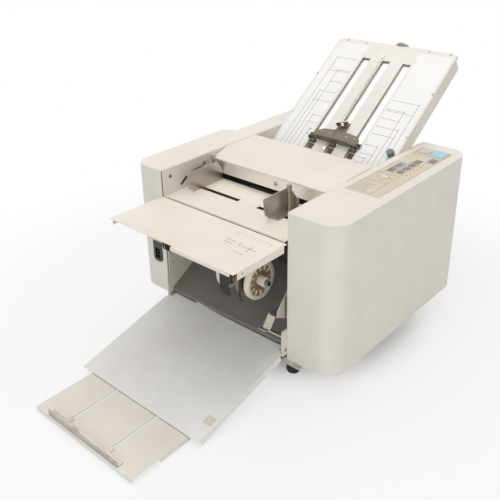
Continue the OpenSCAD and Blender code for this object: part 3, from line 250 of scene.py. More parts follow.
STAINLESS = brushed_metal("stainless_brushed", "#C9C3BA", "#B3ACA2")
SATIN = brushed_metal("stainless_satin", "#F6F1EB", "#EBE5DE", ACROSS, 0.46, 0.6)
PLATED = brushed_metal("zinc_plated_steel", "#BDB9B2", "#A29D95", EVENLY, 0.3, 1.4)
GROUND = brushed_metal("ground_roller_steel", "#A6A19A", "#8E8982", TURNED, 0.3, 0.7)
BRONZE = brushed_metal("sintered_bronze", "#B08D4F", "#8E6E3A", EVENLY, 0.45, 1.0)
print("finishes with the metals:", len(finishes))

# %% [markdown]
# ## Rubber, belts and film
# Rubber is matt and slightly dusty: a high roughness with a lighter bloom on top. The
# polyester strips over the delivery are smooth black film, which the sheets that pass
# under it have rubbed half matt. It has no grain, only faint humps, so the plastic
# recipe serves with a 6 mm pattern and hardly any depth.

# %% Rubber and film finishes
def rubber_compound(name, hex_value, bloom_hex, grain_mm=1.5, rough=0.78):
    """Matt rubber with a fine grain and a lighter bloom on its humps."""
    m = new_finish(name)
    place = add(m, "ShaderNodeTexCoord").outputs["Object"]
    grain = add(m, "ShaderNodeTexNoise",
                {"Scale": 1 / (grain_mm * MM), "Detail": 6, "Roughness": 0.7}, Vector=place)
    tint = add(m, "ShaderNodeValToRGB",
               {"stops": ((0.42, hex_value), (0.8, bloom_hex))}, Fac=grain.outputs["Fac"])
    bump = add(m, "ShaderNodeBump", {"Strength": 0.3, "Distance": 0.05 * MM}, Height=grain.outputs["Fac"])
    return wire_out(m, add(m, "ShaderNodeBsdfPrincipled", {"Roughness": rough, "IOR": 1.52},
                           Base_Color=tint.outputs[0], Normal=bump.outputs[0]))


RUBBER = rubber_compound("rubber_black", "#1E1D1D", "#3A3836")
BELT = rubber_compound("belt_neoprene", "#2B2825", "#45403A", 2.0)
PAD = rubber_compound("friction_pad_dark", "#2B2725", "#453F3A", 1.2)
FILM = moulded_plastic("polyester_film_black", "#101012", "#18181B", 6.0, 0.5, 0.03)
print("finishes with the rubbers and the film:", len(finishes))

# %% [markdown]
# ## The key panel and its window
# The key panel is a printed polycarbonate film glued over the keys. It is printed from
# behind, so it looks warm and even under a satin skin. The labels and their inks are
# printed the same way. Behind the display's clear window lies a warm grey liquid
# crystal with fine rows of dots, and a clear coat on top stands for the window.

# %% Printed film and inks
PANEL_FILM = moulded_plastic("polycarbonate_film_beige", "#DFD2BB", "#D6C8AF", 0.7, 0.38, 0.05)
LABEL = moulded_plastic("printed_label_white", "#F5F3F0", "#F0EDE9", 0.7, 0.4, 0.03)
TRAY_LABEL = moulded_plastic("printed_label_straw", "#DFD8C6", "#D9D1BD", 0.7, 0.5, 0.03)
INK = moulded_plastic("printed_ink_grey", "#6F7278", "#7C7F85", 0.7, 0.5, 0.02)
INK_DARK = moulded_plastic("printed_ink_dark", "#3B3F46", "#484C54", 0.7, 0.5, 0.02)
INK_BLUE = moulded_plastic("printed_ink_blue", "#86AECB", "#93B6D0", 0.7, 0.5, 0.02)
INK_ORANGE = moulded_plastic("printed_ink_orange", "#DDA873", "#E2B283", 0.7, 0.5, 0.02)
RED_LAMP = moulded_plastic("lamp_lens_red", "#B5452F", "#A83A26", 0.7, 0.25, 0.02)
print("finishes with film, labels and inks:", len(finishes))


# %% Liquid crystal
def liquid_crystal(name, hex_value, dot_hex, dot_mm=0.9):
    """A pale display with its grid of dots, under a clear coat."""
    m = new_finish(name)
    place = add(m, "ShaderNodeTexCoord").outputs["Object"]
    dots = add(m, "ShaderNodeTexVoronoi", {"Scale": 1 / (dot_mm * MM), "Randomness": 0.0}, Vector=place)
    tint = add(m, "ShaderNodeValToRGB",
               {"stops": ((0.35, dot_hex), (0.6, hex_value))}, Fac=dots.outputs["Distance"])
    return wire_out(m, add(m, "ShaderNodeBsdfPrincipled",
                           {"Roughness": 0.12, "IOR": 1.58, "Coat Weight": 0.4}, Base_Color=tint.outputs[0]))


DISPLAY = liquid_crystal("liquid_crystal_grey", "#ABA296", "#968D81")
print("finishes in all:", len(finishes))

# %% [markdown]
# ## Building pieces
# A piece is a mesh, a finish and the body that it moves with. Meshes are drawn in
# millimetres in bmesh and turned into metres by a matrix at the end. Sheet metal and
# mouldings never have knife edges, so these pieces get a bevel of their own edge radius,
# while printing, screw heads and the webs of the wheels do without.

# %% Turn a mesh into a piece on its body
BEVEL_FROM = 35  # degrees between two faces, from which their edge is bevelled


def to_piece(name, bm, finish, body, matrix=MACHINE, edge=0.0, instead=(), smooth=40):
    """Makes an object from a bmesh in millimetres, bevels it and lets it ride.
    It stands in for the solids of instead."""
    bm.transform(matrix)
    bmesh.ops.recalc_face_normals(bm, faces=bm.faces)
    mesh = bpy.data.meshes.new(name)
    bm.to_mesh(mesh)
    bm.free()
    piece = bpy.data.objects.new(name, mesh)
    bpy.context.collection.objects.link(piece)
    mesh.materials.append(finish)
    for face in mesh.polygons:
        face.use_smooth = True
    mesh.set_sharp_from_angle(angle=math.radians(smooth))
    if edge:
        bevel = piece.modifiers.new("edge radius", "BEVEL")
        bevel.width, bevel.segments, bevel.limit_method = edge * MM, 2, "ANGLE"
        bevel.angle_limit = math.radians(BEVEL_FROM)
        shading = piece.modifiers.new("even shading", "WEIGHTED_NORMAL")
        shading.keep_sharp = True
    if instead:
        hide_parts(*instead)
    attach(piece, body)


# %% Draw the plain shapes that pieces are made of
UP = Vector((0, 0, 1))


def block(bm, lo, hi, matrix=None):
    """A box between two corners, turned by a matrix if there is one."""
    made = bmesh.ops.create_cube(bm, size=1)["verts"]
    for v in made:
        v.co = Vector([lo[i] + (v.co[i] + 0.5) * (hi[i] - lo[i]) for i in range(3)])
    if matrix:
        bmesh.ops.transform(bm, matrix=matrix, verts=made)


def rod(bm, start, end, radius, sides, end_radius=None):
    """A closed cylinder or cone between two points."""
    start, end = Vector(start), Vector(end)
    span = end - start
    made = bmesh.ops.create_cone(bm, cap_ends=True, segments=sides, depth=span.length, radius1=radius,
                                 radius2=radius if end_radius is None else end_radius)["verts"]
    turn = UP.rotation_difference(span).to_matrix().to_4x4()
    bmesh.ops.transform(bm, matrix=Matrix.Translation((start + end) / 2) @ turn, verts=made)


def join_rings(bm, low, high):
    """Faces between two rings that have as many vertices."""
    count = len(low)
    for i in range(count):
        j = (i + 1) % count
        bm.faces.new((low[i], low[j], high[j], high[i]))


def prism(bm, outline, low, high):
    """A flat outline of (x, y) points, drawn out along Z from low to high."""
    under, over = ([bm.verts.new((x, y, z)) for x, y in outline] for z in (low, high))
    bm.faces.new(under)
    bm.faces.new(over[::-1])
    join_rings(bm, under, over)


def round_angles(sides):
    """The angles of a ring's vertices, once round."""
    return [2 * math.pi * k / sides for k in range(sides)]


def turned(bm, profile, centre, sides):
    """A profile of (along X, radius) pairs, turned about an axis along X."""
    y, z = centre
    rings = [[bm.verts.new((along, y + radius * math.cos(a), z + radius * math.sin(a)))
              for a in round_angles(sides)] for along, radius in profile]
    for low, high in zip(rings, rings[1:] + rings[:1]):
        join_rings(bm, low, high)


print("shape helpers ready")

# %% [markdown]
# ## Edges for the plain solids
# Many solids of the frame already have the right form and only lack soft edges. Their
# mesh can be copied, joined along its seams, cleaned of the triangles that cross flat
# faces, and then bevelled. The copy stands in for the solid and rides on the same body.
# Solids that are round, small or hidden keep their own mesh and only take a finish.

# %% Copy a solid with soft edges
SEAM_GAP = 0.02 * MM
FLAT = math.radians(1)


def soften(node, finish, edge, smooth=35):
    """A copy of a solid with bevelled edges, which stands in for it."""
    bm = bmesh.new()
    bm.from_mesh(frame["nodes"][node].data)
    bmesh.ops.transform(bm, matrix=frame["nodes"][node].matrix_world, verts=bm.verts)
    bmesh.ops.remove_doubles(bm, verts=bm.verts, dist=SEAM_GAP)
    bmesh.ops.dissolve_limit(bm, angle_limit=FLAT, verts=bm.verts, edges=bm.edges)
    to_piece(node + "_softened", bm, finish, BODY_OF[node], Matrix(), edge, (node,), smooth)


SOFTENED = [
    ("right_cover", CASING, 1.6), ("left_cover", CASING, 1.2), ("top_cover", CREAM, 0.5),
    ("front_panel", SATIN, 0.4), ("rear_feed_table", TABLE_CREAM, 0.4),
    ("feed_table_flap", TABLE_CREAM, 0.4),
    ("left_side_guide", STAINLESS, 0.3), ("right_side_guide", STAINLESS, 0.3),
    ("exit_bracket", STAINLESS, 0.3), ("foot_brackets", CREAM, 0.5),
    ("tray_extension", CREAM, 0.4), ("end_stop", STAINLESS, 0.3), ("delivery_tray", TRAY_GREY, 0.4),
    ("fold_plate_frame", CREAM, 0.4), ("fold_plate_sheet", PLATE_WHITE, 0.3), ("fold_stop", BRONZE_COAT, 0.4),
    ("control_panel", PANEL_FILM, 0.3), ("display_window", DISPLAY, 0.2), ("start_key", BLUE_KEY, 0.35),
    ("stop_key", PALE_KEY, 0.35), ("arrow_pad", ARROW_KEY, 0.35), ("key_1", GREY_KEY, 0.3),
    ("key_2", GREY_KEY, 0.3), ("key_3", GREY_KEY, 0.3), ("key_4", GREY_KEY, 0.3), ("key_5", GREY_KEY, 0.3),
]
for node, finish, edge in SOFTENED:
    soften(node, finish, edge)
print("softened solids:", len(SOFTENED))

# %% Finish the solids that keep their own mesh
KEPT = [
    (BEHIND_CREAM, ["left_side_frame", "right_side_frame", "second_fold_plate"]),
    (STAINLESS, ["chassis", "guide_rail"]),
    (PLATED, ["power_supply", "screws_and_pins", "fold_stop_knob", "left_guide_knob", "right_guide_knob"]),
    (BLACK, ["delivery_hanger", "inner_panel", "mains_fittings", "power_switch", "hand_wheel",
             "motor_pulley"]),
    (GREY_KNOB, ["fine_adjust_knob"]),
    (GROUND, ["fold_roller_1", "fold_roller_2", "fold_roller_3", "fold_roller_4", "delivery_shaft"]),
    (RUBBER, ["rubber_feet", "feed_roller"]),
    (BELT, ["drive_belts"]), (PAD, ["separator_pad"]), (BRONZE, ["bearing_bushes"]), (MOTOR_COAT, ["motor"]),
    (CHUTE_GREY, ["delivery_chute"]), (BRONZE_COAT, ["second_fold_stop"]), (BOARD_GREEN, ["circuit_board"]),
    (LOCK_BLUE, ["plate_lock_knob"]), (FILM, ["film_strips"]),
]
for finish, nodes in KEPT:
    for node in nodes:
        materials = frame["nodes"][node].data.materials
        materials.clear()
        materials.append(finish)
print("solids finished in place:", sum(len(nodes) for _, nodes in KEPT))

# %% [markdown]
# ## Delivery wheels
# Each wheel is one nylon moulding: a broad crowned rim, a thin web set deep inside it,
# short ribs that run from the rim part of the way in, and a long hub that grips the
# shaft and sticks out on the right. The rims are cream, the webs a darker tan, and the
# middle wheel is tan all over. A lathe turns rim and hub from a profile, and the ribs
# are blocks turned round the axis.

# %% Give the wheels their sizes and profiles
WHEEL_Y, WHEEL_Z, WHEEL_R, WHEEL_W = 8, 216, 42, 13
WHEEL_PLACES = [100, 77, 25]
TAN_WHEEL = 77
# Shares of half the width, and depths below the tread: crowned, with rounded lips
RIM_OUTLINE = [(-0.98, 1.6), (-0.8, 0.4), (-0.35, 0), (0.35, 0), (0.8, 0.4),
               (0.98, 1.6), (1.0, 7.5), (0.85, 8.8), (-0.85, 8.8), (-1.0, 7.5)]
HUB_FROM, HUB_TO, HUB_R, BORE_R = -3, 18, 11, 5.6
HUB_ROUND_IN, HUB_ROUND_OUT = 0.6, 1.2
WEB_IN, WEB_OUT, WEB_HALF = 10.4, WHEEL_R - 8, 1.6
RING_IN, RING_OUT, RING_HALF = 14.4, 16.4, 2.6
RIBS = 12
RIB_IN, RIB_OUT, RIB_HALF_LENGTH, RIB_HALF = WHEEL_R - 20, WHEEL_R - 8.2, 4.8, 1
RIM_SIDES, HUB_SIDES = 72, 48


def rim_profile(middle):
    """The rim's section, about the wheel's middle."""
    return [(middle + share * WHEEL_W / 2, WHEEL_R - depth) for share, depth in RIM_OUTLINE]


def hub_profile(middle):
    """A long hub with rounded ends, bored for the shaft."""
    low, high = middle + HUB_FROM, middle + HUB_TO
    return [(low, BORE_R), (low, HUB_R - HUB_ROUND_IN), (low + HUB_ROUND_IN, HUB_R),
            (high - HUB_ROUND_OUT, HUB_R), (high, HUB_R - HUB_ROUND_OUT), (high, BORE_R)]


def ring_profile(middle, half, inner, outer):
    """A ring with flat sides."""
    return [(middle - half, inner), (middle - half, outer), (middle + half, outer), (middle + half, inner)]


print("a rim is", WHEEL_W, "mm wide and a hub", HUB_TO - HUB_FROM, "mm long")

# %% Turn the delivery wheels
rims, tan_rims, webs = bmesh.new(), bmesh.new(), bmesh.new()
for middle in WHEEL_PLACES:
    own = tan_rims if middle == TAN_WHEEL else rims
    for mesh, profile, sides in (
            (own, rim_profile(middle), RIM_SIDES), (own, hub_profile(middle), HUB_SIDES),
            (webs, ring_profile(middle, WEB_HALF, WEB_IN, WEB_OUT), RIM_SIDES),
            (webs, ring_profile(middle, RING_HALF, RING_IN, RING_OUT), HUB_SIDES)):
        turned(mesh, profile, (WHEEL_Y, WHEEL_Z), sides)
    hub = Matrix.Translation((middle, WHEEL_Y, WHEEL_Z))
    for angle in round_angles(RIBS):
        block(own, (-RIB_HALF_LENGTH, RIB_IN, -RIB_HALF), (RIB_HALF_LENGTH, RIB_OUT, RIB_HALF),
              hub @ Matrix.Rotation(angle, 4, "X"))
to_piece("delivery_wheel_rims", rims, NYLON, "delivery_drum", edge=0.25, instead=("delivery_wheels",))
to_piece("delivery_wheel_tan_rim", tan_rims, NYLON_TAN, "delivery_drum", edge=0.25)
to_piece("delivery_wheel_webs", webs, WEB_TAN, "delivery_drum")
print("wheels:", len(WHEEL_PLACES), "with", RIBS, "ribs each")

# %% [markdown]
# ## Printed scales on the fold plate
# Two white labels lie on the fold plate, left and right of its three slots. A long line
# runs up each label for every common fold. Two cross lines leave it for the scale of
# ticks along the slot, each from a small coloured dot to a fine arrow head, so the stop
# can be set by eye. They could be a texture, but thin strips of mesh stay sharp from
# every side.

# %% Rule a line on the plate
PLATE_TOP = (0, 655, 560)  # the middle of the plate's upper edge
PLATE_TILT = 35.7
PLATE_SHEET = 1.5
ON_PLATE = frame_at(*PLATE_TOP, PLATE_TILT)
INK_ABOVE, INK_DEEP = 0.32, 0.12


def ruled_line(bm, a, b, width, height=PLATE_SHEET + INK_ABOVE):
    """A printed line from a to b, as a very flat strip at a height."""
    a, b = Vector((*a, 0)), Vector((*b, 0))
    side = (b - a).normalized().cross(UP) * width / 2
    corners = [a - side, b - side, b + side, a + side]
    low = [bm.verts.new((c.x, c.y, height - INK_DEEP)) for c in corners]
    top = [bm.verts.new((c.x, c.y, height)) for c in corners]
    bm.faces.new(top)
    bm.faces.new(low[::-1])
    join_rings(bm, low, top)


print("the plate leans by", PLATE_TILT, "degrees")

# %% Lay the labels and print them
LABEL_LOW, LABEL_HIGH, LABEL_IN, LABEL_OUT = -404, -14, 72, 161
# Across the plate, then up the plate to the upper and lower cross line
LEFT_FOLDS = [(-139, -66, -111), (-114, -107, -145), (-126, -179, -209), (-101, -254, -277),
              (-86, -296, -310)]
RIGHT_FOLDS = [(148, -166, -198), (123, -193, -221), (135, -246, -268), (110, -301, -326),
               (97, -338, -352)]
LONG_LINE, THIN_LINE, DOT_R = 1.0, 0.8, 2.1
CROSS_END = LABEL_IN + 8
ARROW_TIP, ARROW_TAIL, ARROW_HALF = 2.5, 1.5, 1.4
TICKS, FIRST_TICK, TICK_STEP, LONG_EVERY = 60, LABEL_HIGH - 26, 5.5, 5
TICK_FROM, SHORT_TICK, LONG_TICK = LABEL_IN + 0.8, LABEL_IN + 2.8, LABEL_IN + 4.6

labels, ruling, upper_dots, lower_dots = (bmesh.new() for _ in range(4))
for sign, folds in ((-1, LEFT_FOLDS), (1, RIGHT_FOLDS)):
    lo, hi = sorted((sign * LABEL_IN, sign * LABEL_OUT))
    block(labels, (lo, LABEL_LOW, PLATE_SHEET - 0.1), (hi, LABEL_HIGH, PLATE_SHEET + 0.22))
    for x, upper, lower in folds:
        ruled_line(ruling, (x, LABEL_LOW + 4), (x, upper), LONG_LINE)
        for y, dots in ((upper, upper_dots), (lower, lower_dots)):
            end = sign * CROSS_END
            ruled_line(ruling, (x, y), (end, y), THIN_LINE)
            rod(dots, (x, y, PLATE_SHEET + 0.1), (x, y, PLATE_SHEET + 0.4), DOT_R, 16)
            tail = end + sign * ARROW_TAIL
            head = [(end - sign * ARROW_TIP, y), (tail, y + ARROW_HALF), (tail, y - ARROW_HALF)]
            prism(ruling, head, PLATE_SHEET + 0.2, PLATE_SHEET + 0.34)
    for k in range(TICKS):
        y = FIRST_TICK - TICK_STEP * k
        tick_end = SHORT_TICK if k % LONG_EVERY else LONG_TICK
        ruled_line(ruling, (sign * TICK_FROM, y), (sign * tick_end, y), THIN_LINE)
to_piece("fold_plate_labels", labels, LABEL, "machine", ON_PLATE, 0.08)
to_piece("fold_plate_ruling", ruling, INK, "machine", ON_PLATE)
to_piece("fold_plate_upper_dots", upper_dots, INK_BLUE, "machine", ON_PLATE)
to_piece("fold_plate_lower_dots", lower_dots, INK_ORANGE, "machine", ON_PLATE)
print("folds marked on the labels:", len(LEFT_FOLDS) + len(RIGHT_FOLDS))

# %% [markdown]
# ## Screws, rail and stop of the fold plate
# Pan-head screws hold the plate's sheet to its frame, and a bright rail guides the stop
# beside the middle slot. The stop carries two flat wings with bolts, and rubber tips
# cap its ends so that it does not mark the labels. A pan head is a low dome, so it is
# drawn as rings that grow narrower, and the last ring sinks into a cross recess.

# %% Draw a pan-head screw
HEAD_SIDES = 24
SUNK, CROSS_DEEP, CROSS_TURN = 0.3, 0.5, 0.6
# Shares of the head's radius and height, from its edge to its crown
DOME = [(1, 0.35), (0.86, 0.75), (0.55, 1)]


def pan_head(bm, centre, normal, radius, height=1.6):
    """A domed head that stands on a surface, with a cross recess."""
    turn = Matrix.Translation(centre) @ UP.rotation_difference(Vector(normal)).to_matrix().to_4x4()
    angles = round_angles(HEAD_SIDES)
    rings = [(radius, -SUNK)] + [(radius * wide, height * high) for wide, high in DOME]
    loops = [[bm.verts.new(turn @ Vector((r * math.cos(a), r * math.sin(a), z))) for a in angles]
             for r, z in rings]
    for low, high in zip(loops, loops[1:]):
        join_rings(bm, low, high)
    bm.faces.new(loops[0][::-1])
    recess = []
    for k, angle in enumerate(angles):
        r, a = radius * (0.5 if k % 6 < 3 else 0.2), angle + CROSS_TURN
        recess.append(bm.verts.new(turn @ Vector((r * math.cos(a), r * math.sin(a), height - CROSS_DEEP))))
    join_rings(bm, loops[-1], recess)
    bm.faces.new(recess)


print("a pan head has", HEAD_SIDES, "sides")

# %% Set the plate's screws and its rail
SIDE_SCREWS = [(x, y) for x in (-163.4, 163.4) for y in (-128, -258)]
TOP_SCREWS = [(x, -6) for x in (-140, -84, 94, 150)]
heads = bmesh.new()
for places, radius in ((SIDE_SCREWS, 2.4), (TOP_SCREWS, 2.8)):
    for x, y in places:
        pan_head(heads, (x, y, PLATE_SHEET), UP, radius)
to_piece("fold_plate_screws", heads, PLATED, "machine", ON_PLATE)

RAIL_X, RAIL_LOW, RAIL_HIGH, RAIL_R = -15, -336, -46, 0.9
RAIL_UP = PLATE_SHEET + 0.6
CLIP_LEFT, CLIP_RIGHT, CLIP_LENGTH, CLIP_UP = -19, -11.4, 10, PLATE_SHEET + 1.4
rail = bmesh.new()
rod(rail, (RAIL_X, RAIL_LOW, RAIL_UP), (RAIL_X, RAIL_HIGH, RAIL_UP), RAIL_R, 12)
for low in (RAIL_LOW - 8, RAIL_HIGH - 2):
    block(rail, (CLIP_LEFT, low, PLATE_SHEET - 0.1), (CLIP_RIGHT, low + CLIP_LENGTH, CLIP_UP))
to_piece("fold_plate_rail", rail, PLATED, "machine", ON_PLATE, 0.1)
print("screws on the fold plate:", len(SIDE_SCREWS) + len(TOP_SCREWS))

# %% Add the stop's flat wings and their bolts
STOP_AT = -316  # where the stop stands on the plate at rest
WING = [(66, 4), (59, 20), (46, 28), (20, 31), (11, 36), (11, 4)]
WING_LOW, WING_TOP = PLATE_SHEET + 2.1, PLATE_SHEET + 3.3
BOLTS_X, BOLTS_UP, BOLT_R, BOLT_HEIGHT = (-46, -24, 24, 46), 19, 2.4, 1.2
wings = bmesh.new()
for sign in (-1, 1):
    prism(wings, [(sign * x, STOP_AT + y) for x, y in WING], WING_LOW, WING_TOP)
to_piece("fold_stop_wings", wings, BRONZE_COAT, "plate_stop", ON_PLATE, 0.3)
bolts = bmesh.new()
for x in BOLTS_X:
    pan_head(bolts, (x, STOP_AT + BOLTS_UP, WING_TOP), UP, BOLT_R, BOLT_HEIGHT)
to_piece("fold_stop_bolts", bolts, PLATED, "plate_stop", ON_PLATE)
print("bolts on the stop's wings:", len(BOLTS_X))

# %% Cap the stop with rubber tips
TIPS_X = (-66, 66)
TIP_R, TIP_TOP_R, BUFFER_R = 4.6, 3.6, 3.4
tips = bmesh.new()
for x in TIPS_X:
    rod(tips, (x, STOP_AT + 3, PLATE_SHEET + 2), (x, STOP_AT + 3, PLATE_SHEET + 7.5), TIP_R, 24, TIP_TOP_R)
    rod(tips, (x, STOP_AT - 7.5, PLATE_SHEET + 5), (x, STOP_AT - 3.9, PLATE_SHEET + 5), BUFFER_R, 24)
to_piece("fold_stop_tips", tips, RUBBER, "plate_stop", ON_PLATE, 0.4)
print("rubber tips:", len(TIPS_X))

# %% [markdown]
# ## Front screws, table marks and tray label
# Three screws cross the satin panel, smaller ones sit in the inner face of the left
# frame, and the front corner of the table carries a small printed scale. The tray has
# a pale square label near its right front corner. They could lie flush, but two faces
# in one place flicker, so marks and label stand about a tenth of a millimetre proud.

# %% Put screws on the front
PANEL_SCREWS = {(-150, 156, 354): 3.4, (20, 156, 354): 5.2, (150, 156, 354): 3.4}
FRAME_SCREWS = [(-167, 15, 157), (-167, 66, 286), (-167, 126, 300)]
front = bmesh.new()
for place, radius in PANEL_SCREWS.items():
    pan_head(front, place, (0, -1, 0), radius, 2.2)
for place in FRAME_SCREWS:
    pan_head(front, place, (1, 0, 0), 2.6)
to_piece("front_screws", front, PLATED, "machine")
print("screws on the front:", len(PANEL_SCREWS) + len(FRAME_SCREWS))

# %% Mark the table and label the tray
MARK_Z, MARK_DEEP, MARK_WIDE = 325.12, 0.15, 0.9
TABLE_TICKS, TICKS_FROM_X, TICKS_FROM_Y, TABLE_STEP = 9, 76, -18, 10
# Left, front, right and rear of the straight marks
TABLE_BARS = [(108, -60, 150, -59), (108, -60, 109, -48), (136, -72, 137, -48),
              (72, -54, 96, -53), (72, -64, 96, -63), (116, -84, 140, -83)]
marks = bmesh.new()
for k in range(TABLE_TICKS):
    x, length = TICKS_FROM_X + TABLE_STEP * k, 5 if k % 4 else 9
    block(marks, (x, TICKS_FROM_Y - length, MARK_Z - MARK_DEEP), (x + MARK_WIDE, TICKS_FROM_Y, MARK_Z))
for x0, y0, x1, y1 in TABLE_BARS:
    block(marks, (x0, y0, MARK_Z - MARK_DEEP), (x1, y1, MARK_Z))
to_piece("table_scale_marks", marks, INK, "table_flap")

TRAY_HINGE, TRAY_SLOPE, TRAY_SHEET = (0, 6, 78), 14, 1.5
ON_TRAY = frame_at(*TRAY_HINGE, TRAY_SLOPE)
patch = bmesh.new()
block(patch, (146, -224, TRAY_SHEET - 0.05), (167, -205, TRAY_SHEET + 0.15))
to_piece("tray_label", patch, TRAY_LABEL, "tray", ON_TRAY, 0.05)
print("marks on the table:", TABLE_TICKS + len(TABLE_BARS))

# %% [markdown]
# ## Printing on the key panel
# The film over the keys is printed with thin frames round each group of keys, small
# round lamps beside them and arrows on the pad. All of it is generic: lines, dots and
# triangles. Each frame is four flat strips laid on the film.

# %% Print the key panel's frames and lines
PANEL_TOP = 384.6
PRINT_TOP = PANEL_TOP + INK_DEEP
FRAME_LINE, TEXT_LINE = 0.7, 1.2
# Left, front, right and rear of the frames round the groups of keys
KEY_FRAMES = [(189, 292, 238, 372), (218, 302, 235, 398), (192, 244, 239, 289),
              (240, 394, 259, 424), (190, 430, 260, 474), (189, 180, 240, 236)]
TEXT_LINES, TEXT_LEFT, TEXT_RIGHT, TEXT_FRONT, TEXT_STEP = 5, 194, 226, 186, 9
printing = bmesh.new()
for x0, y0, x1, y1 in KEY_FRAMES:
    corners = [(x0, y0), (x1, y0), (x1, y1), (x0, y1)]
    for a, b in zip(corners, corners[1:] + corners[:1]):
        ruled_line(printing, a, b, FRAME_LINE, PRINT_TOP)
for k in range(TEXT_LINES):
    y = TEXT_FRONT + TEXT_STEP * k
    ruled_line(printing, (TEXT_LEFT, y), (TEXT_RIGHT - 4 * (k % 2), y), TEXT_LINE, PRINT_TOP)
to_piece("key_panel_printing", printing, INK, "machine")
print("frames on the key panel:", len(KEY_FRAMES))

# %% Set the lamps, the arrows and the bars of the display
LAMPS, LAMP_X, LAMP_Y, LAMP_STEP, LAMP_R, LAMP_TOP_R = 6, 246, 306, 14, 1.7, 1.3
lamps = bmesh.new()
for k in range(LAMPS):
    y = LAMP_Y + LAMP_STEP * k
    rod(lamps, (LAMP_X, y, PANEL_TOP - 0.2), (LAMP_X, y, PANEL_TOP + 0.5), LAMP_R, 20, LAMP_TOP_R)
to_piece("key_panel_lamps", lamps, RED_LAMP, "machine", edge=0.15)

PAD_MIDDLE, KEY_TOP = Vector((215, 270)), 385.8
ARROW = [(14.5, 0), (9.5, 3), (9.5, -3)]
arrows = bmesh.new()
for k in range(4):
    way = Matrix.Rotation(k * math.pi / 2, 2)
    prism(arrows, [PAD_MIDDLE + way @ Vector(point) for point in ARROW], KEY_TOP - 0.1, KEY_TOP + 0.1)
to_piece("arrow_pad_marks", arrows, INK_DARK, "arrow_button")

BARS, BAR_LEFT, BAR_RIGHT, BAR_FRONT, BAR_WIDE, BAR_STEP = 7, 199.5, 205, 306, 3, 8
display_bars = bmesh.new()
for k in range(BARS):
    y = BAR_FRONT + BAR_STEP * k
    block(display_bars, (BAR_LEFT, y, PANEL_TOP - 0.36),
          (BAR_RIGHT + 4 * (k % 3), y + BAR_WIDE, PANEL_TOP - 0.22))
to_piece("display_characters", display_bars, INK_DARK, "machine")
print("lamps on the key panel:", LAMPS, "and bars in the display:", BARS)

# %% [markdown]
# ## The stage
# The machine stands on a plain white sweep. The floor near it is a real diffuse
# surface, lit up so that it reads as white paper and still keeps the soft shadow, and
# not lit up at all beneath the machine, where gaps would show it. Far away it turns by
# distance into pure white, and so does the world for rays that come straight or by
# reflection from the camera. Three large soft lamps light the machine: a warm one
# overhead, a warmer one from the right and a low bluish one from the front.

# %% The floor's finish
PAPER_WHITE, PURE_WHITE = (0.93, 0.93, 0.93, 1), (1, 1, 1, 1)
NEAR_GLOW = 0.68  # how much of its white the floor gives by itself near the machine
FADE_FROM, FADE_TO = 0.55, 1.05  # metres from the middle, where the floor turns white
# An oval beneath the covers: within UNLIT of its radius nothing glows, past LIT all does
OVAL_SHIFT, OVAL_SCALE, UNLIT, LIT = (0, -0.42, 0), (3.7, 3.9, 0), 0.7, 1.25


def white_floor():
    """White paper that glows for the camera, except beneath the machine."""
    m = new_finish("sweep_white")
    place = add(m, "ShaderNodeTexCoord").outputs["Object"]
    away = add(m, "ShaderNodeVectorMath", {"operation": "LENGTH"}, i0=place)
    fade = add(m, "ShaderNodeMapRange",
               {"From Min": FADE_FROM, "From Max": FADE_TO, "To Min": NEAR_GLOW,
                "interpolation_type": "SMOOTHSTEP"}, Value=away.outputs["Value"])
    footprint = add(m, "ShaderNodeMapping", {"Location": OVAL_SHIFT, "Scale": OVAL_SCALE}, Vector=place)
    beneath = add(m, "ShaderNodeVectorMath", {"operation": "LENGTH"}, i0=footprint.outputs[0])
    outside = add(m, "ShaderNodeMapRange",
                  {"From Min": UNLIT, "From Max": LIT, "interpolation_type": "SMOOTHSTEP"},
                  Value=beneath.outputs["Value"])
    lit = add(m, "ShaderNodeMath", {"operation": "MULTIPLY"}, i0=fade.outputs[0], i1=outside.outputs[0])
    seen = add(m, "ShaderNodeLightPath")
    direct = add(m, "ShaderNodeMath", {"operation": "MAXIMUM"}, i0=seen.outputs["Is Camera Ray"],
                 i1=seen.outputs["Is Glossy Ray"])
    share = add(m, "ShaderNodeMath", {"operation": "MULTIPLY"}, i0=lit.outputs[0], i1=direct.outputs[0])
    paper = add(m, "ShaderNodeBsdfDiffuse", {"Color": PAPER_WHITE})
    glow = add(m, "ShaderNodeEmission", {"Color": PURE_WHITE, "Strength": 1.0})
    return wire_out(m, add(m, "ShaderNodeMixShader",
                           i0=share.outputs[0], i1=paper.outputs[0], i2=glow.outputs[0]))


bpy.ops.mesh.primitive_circle_add(vertices=96, radius=9, fill_type="NGON", location=(0, 0, 0))
floor = bpy.context.object
floor.name = "floor"
floor.data.materials.append(white_floor())
print("the floor is pure white from", FADE_TO, "m on")

# %% The world round it
ROOM_LIGHT = (0.93, 0.96, 1.0, 1)
world = bpy.data.worlds.new("soft_room")
bpy.context.scene.world = world
world.use_nodes = True
world.node_tree.nodes.clear()
room = add(world, "ShaderNodeBackground", {"Color": ROOM_LIGHT, "Strength": 0.46})
white = add(world, "ShaderNodeBackground", {"Color": PURE_WHITE, "Strength": 1.0})
path = add(world, "ShaderNodeLightPath")
first = add(world, "ShaderNodeMath", {"operation": "MAXIMUM"}, i0=path.outputs["Is Camera Ray"],
            i1=path.outputs["Is Glossy Ray"])
clear = add(world, "ShaderNodeMath", {"operation": "MAXIMUM"}, i0=first.outputs[0],
            i1=path.outputs["Is Transmission Ray"])
mixed = add(world, "ShaderNodeMixShader", i0=clear.outputs[0], i1=room.outputs[0], i2=white.outputs[0])
add(world, "ShaderNodeOutputWorld", i0=mixed.outputs[0])
print("nodes of the world:", len(world.node_tree.nodes))


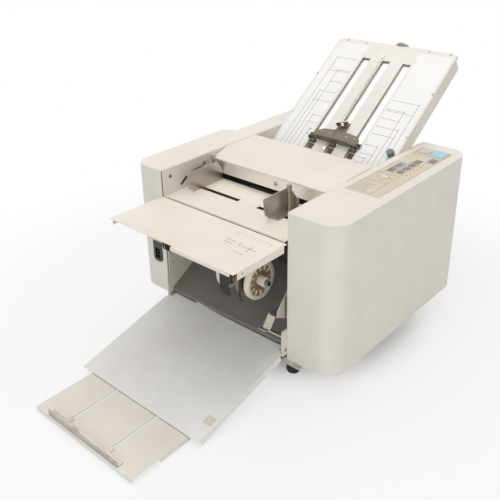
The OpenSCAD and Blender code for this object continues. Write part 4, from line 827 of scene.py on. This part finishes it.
# %% Lamps
def soft_box(name, place, target, size, watts, colour):
    """A square area lamp at a place in metres, turned to a target."""
    lamp = bpy.data.lights.new(name, "AREA")
    lamp.shape, lamp.size, lamp.energy, lamp.color = "SQUARE", size, watts, colour
    holder = bpy.data.objects.new(name, lamp)
    bpy.context.collection.objects.link(holder)
    holder.location = place
    holder.rotation_euler = (Vector(target) - Vector(place)).to_track_quat("-Z", "Y").to_euler()


soft_box("over_head", (-0.3, 0.2, 2.4), (0, 0, 0.2), 2.2, 27.5, (1.0, 0.975, 0.945))
soft_box("right_fill", (2.4, -0.6, 1.3), (0, 0, 0.25), 1.8, 7.5, (1.0, 0.93, 0.83))
soft_box("front_fill", (0.75, -1.9, 0.75), (0.2, 0, 0.2), 1.2, 8.5, (0.78, 0.89, 1.0))
print("lamps:", len(bpy.data.lights))

# %% [markdown]
# ## The camera
# The place of the camera comes from the photograph: the edges of the two casings, the
# table and the fold plate were matched to the machine's own sizes. The upright edges
# in it are nearly parallel, which a small shift of the lens follows.

# %% Place the camera
CAMERA_AT = (891.43, -899.08, 933.89)
YAW, PITCH, ROLL = (math.radians(a) for a in (41.892, 25.512, -0.967))
FOCAL_PIXELS, IMAGE_PIXELS, SENSOR_MM, LENS_SHIFT = 696.51, 500, 36, -0.07

forward = Vector((-math.sin(YAW) * math.cos(PITCH), math.cos(YAW) * math.cos(PITCH), -math.sin(PITCH)))
level = Vector((math.cos(YAW), math.sin(YAW), 0))
upward = level.cross(forward)
side = math.cos(ROLL) * level + math.sin(ROLL) * upward
above = -math.sin(ROLL) * level + math.cos(ROLL) * upward
lens = bpy.data.cameras.new("camera")
lens.lens, lens.sensor_width, lens.shift_y = FOCAL_PIXELS * SENSOR_MM / IMAGE_PIXELS, SENSOR_MM, LENS_SHIFT
camera = bpy.data.objects.new("camera", lens)
bpy.context.collection.objects.link(camera)
turn = Matrix((side, above, -forward)).transposed().to_4x4()
camera.matrix_world = Matrix.Translation(at(*CAMERA_AT)) @ turn
bpy.context.scene.camera = camera
bpy.context.scene.view_settings.view_transform = "Standard"
print("lens in mm:", round(lens.lens, 2))
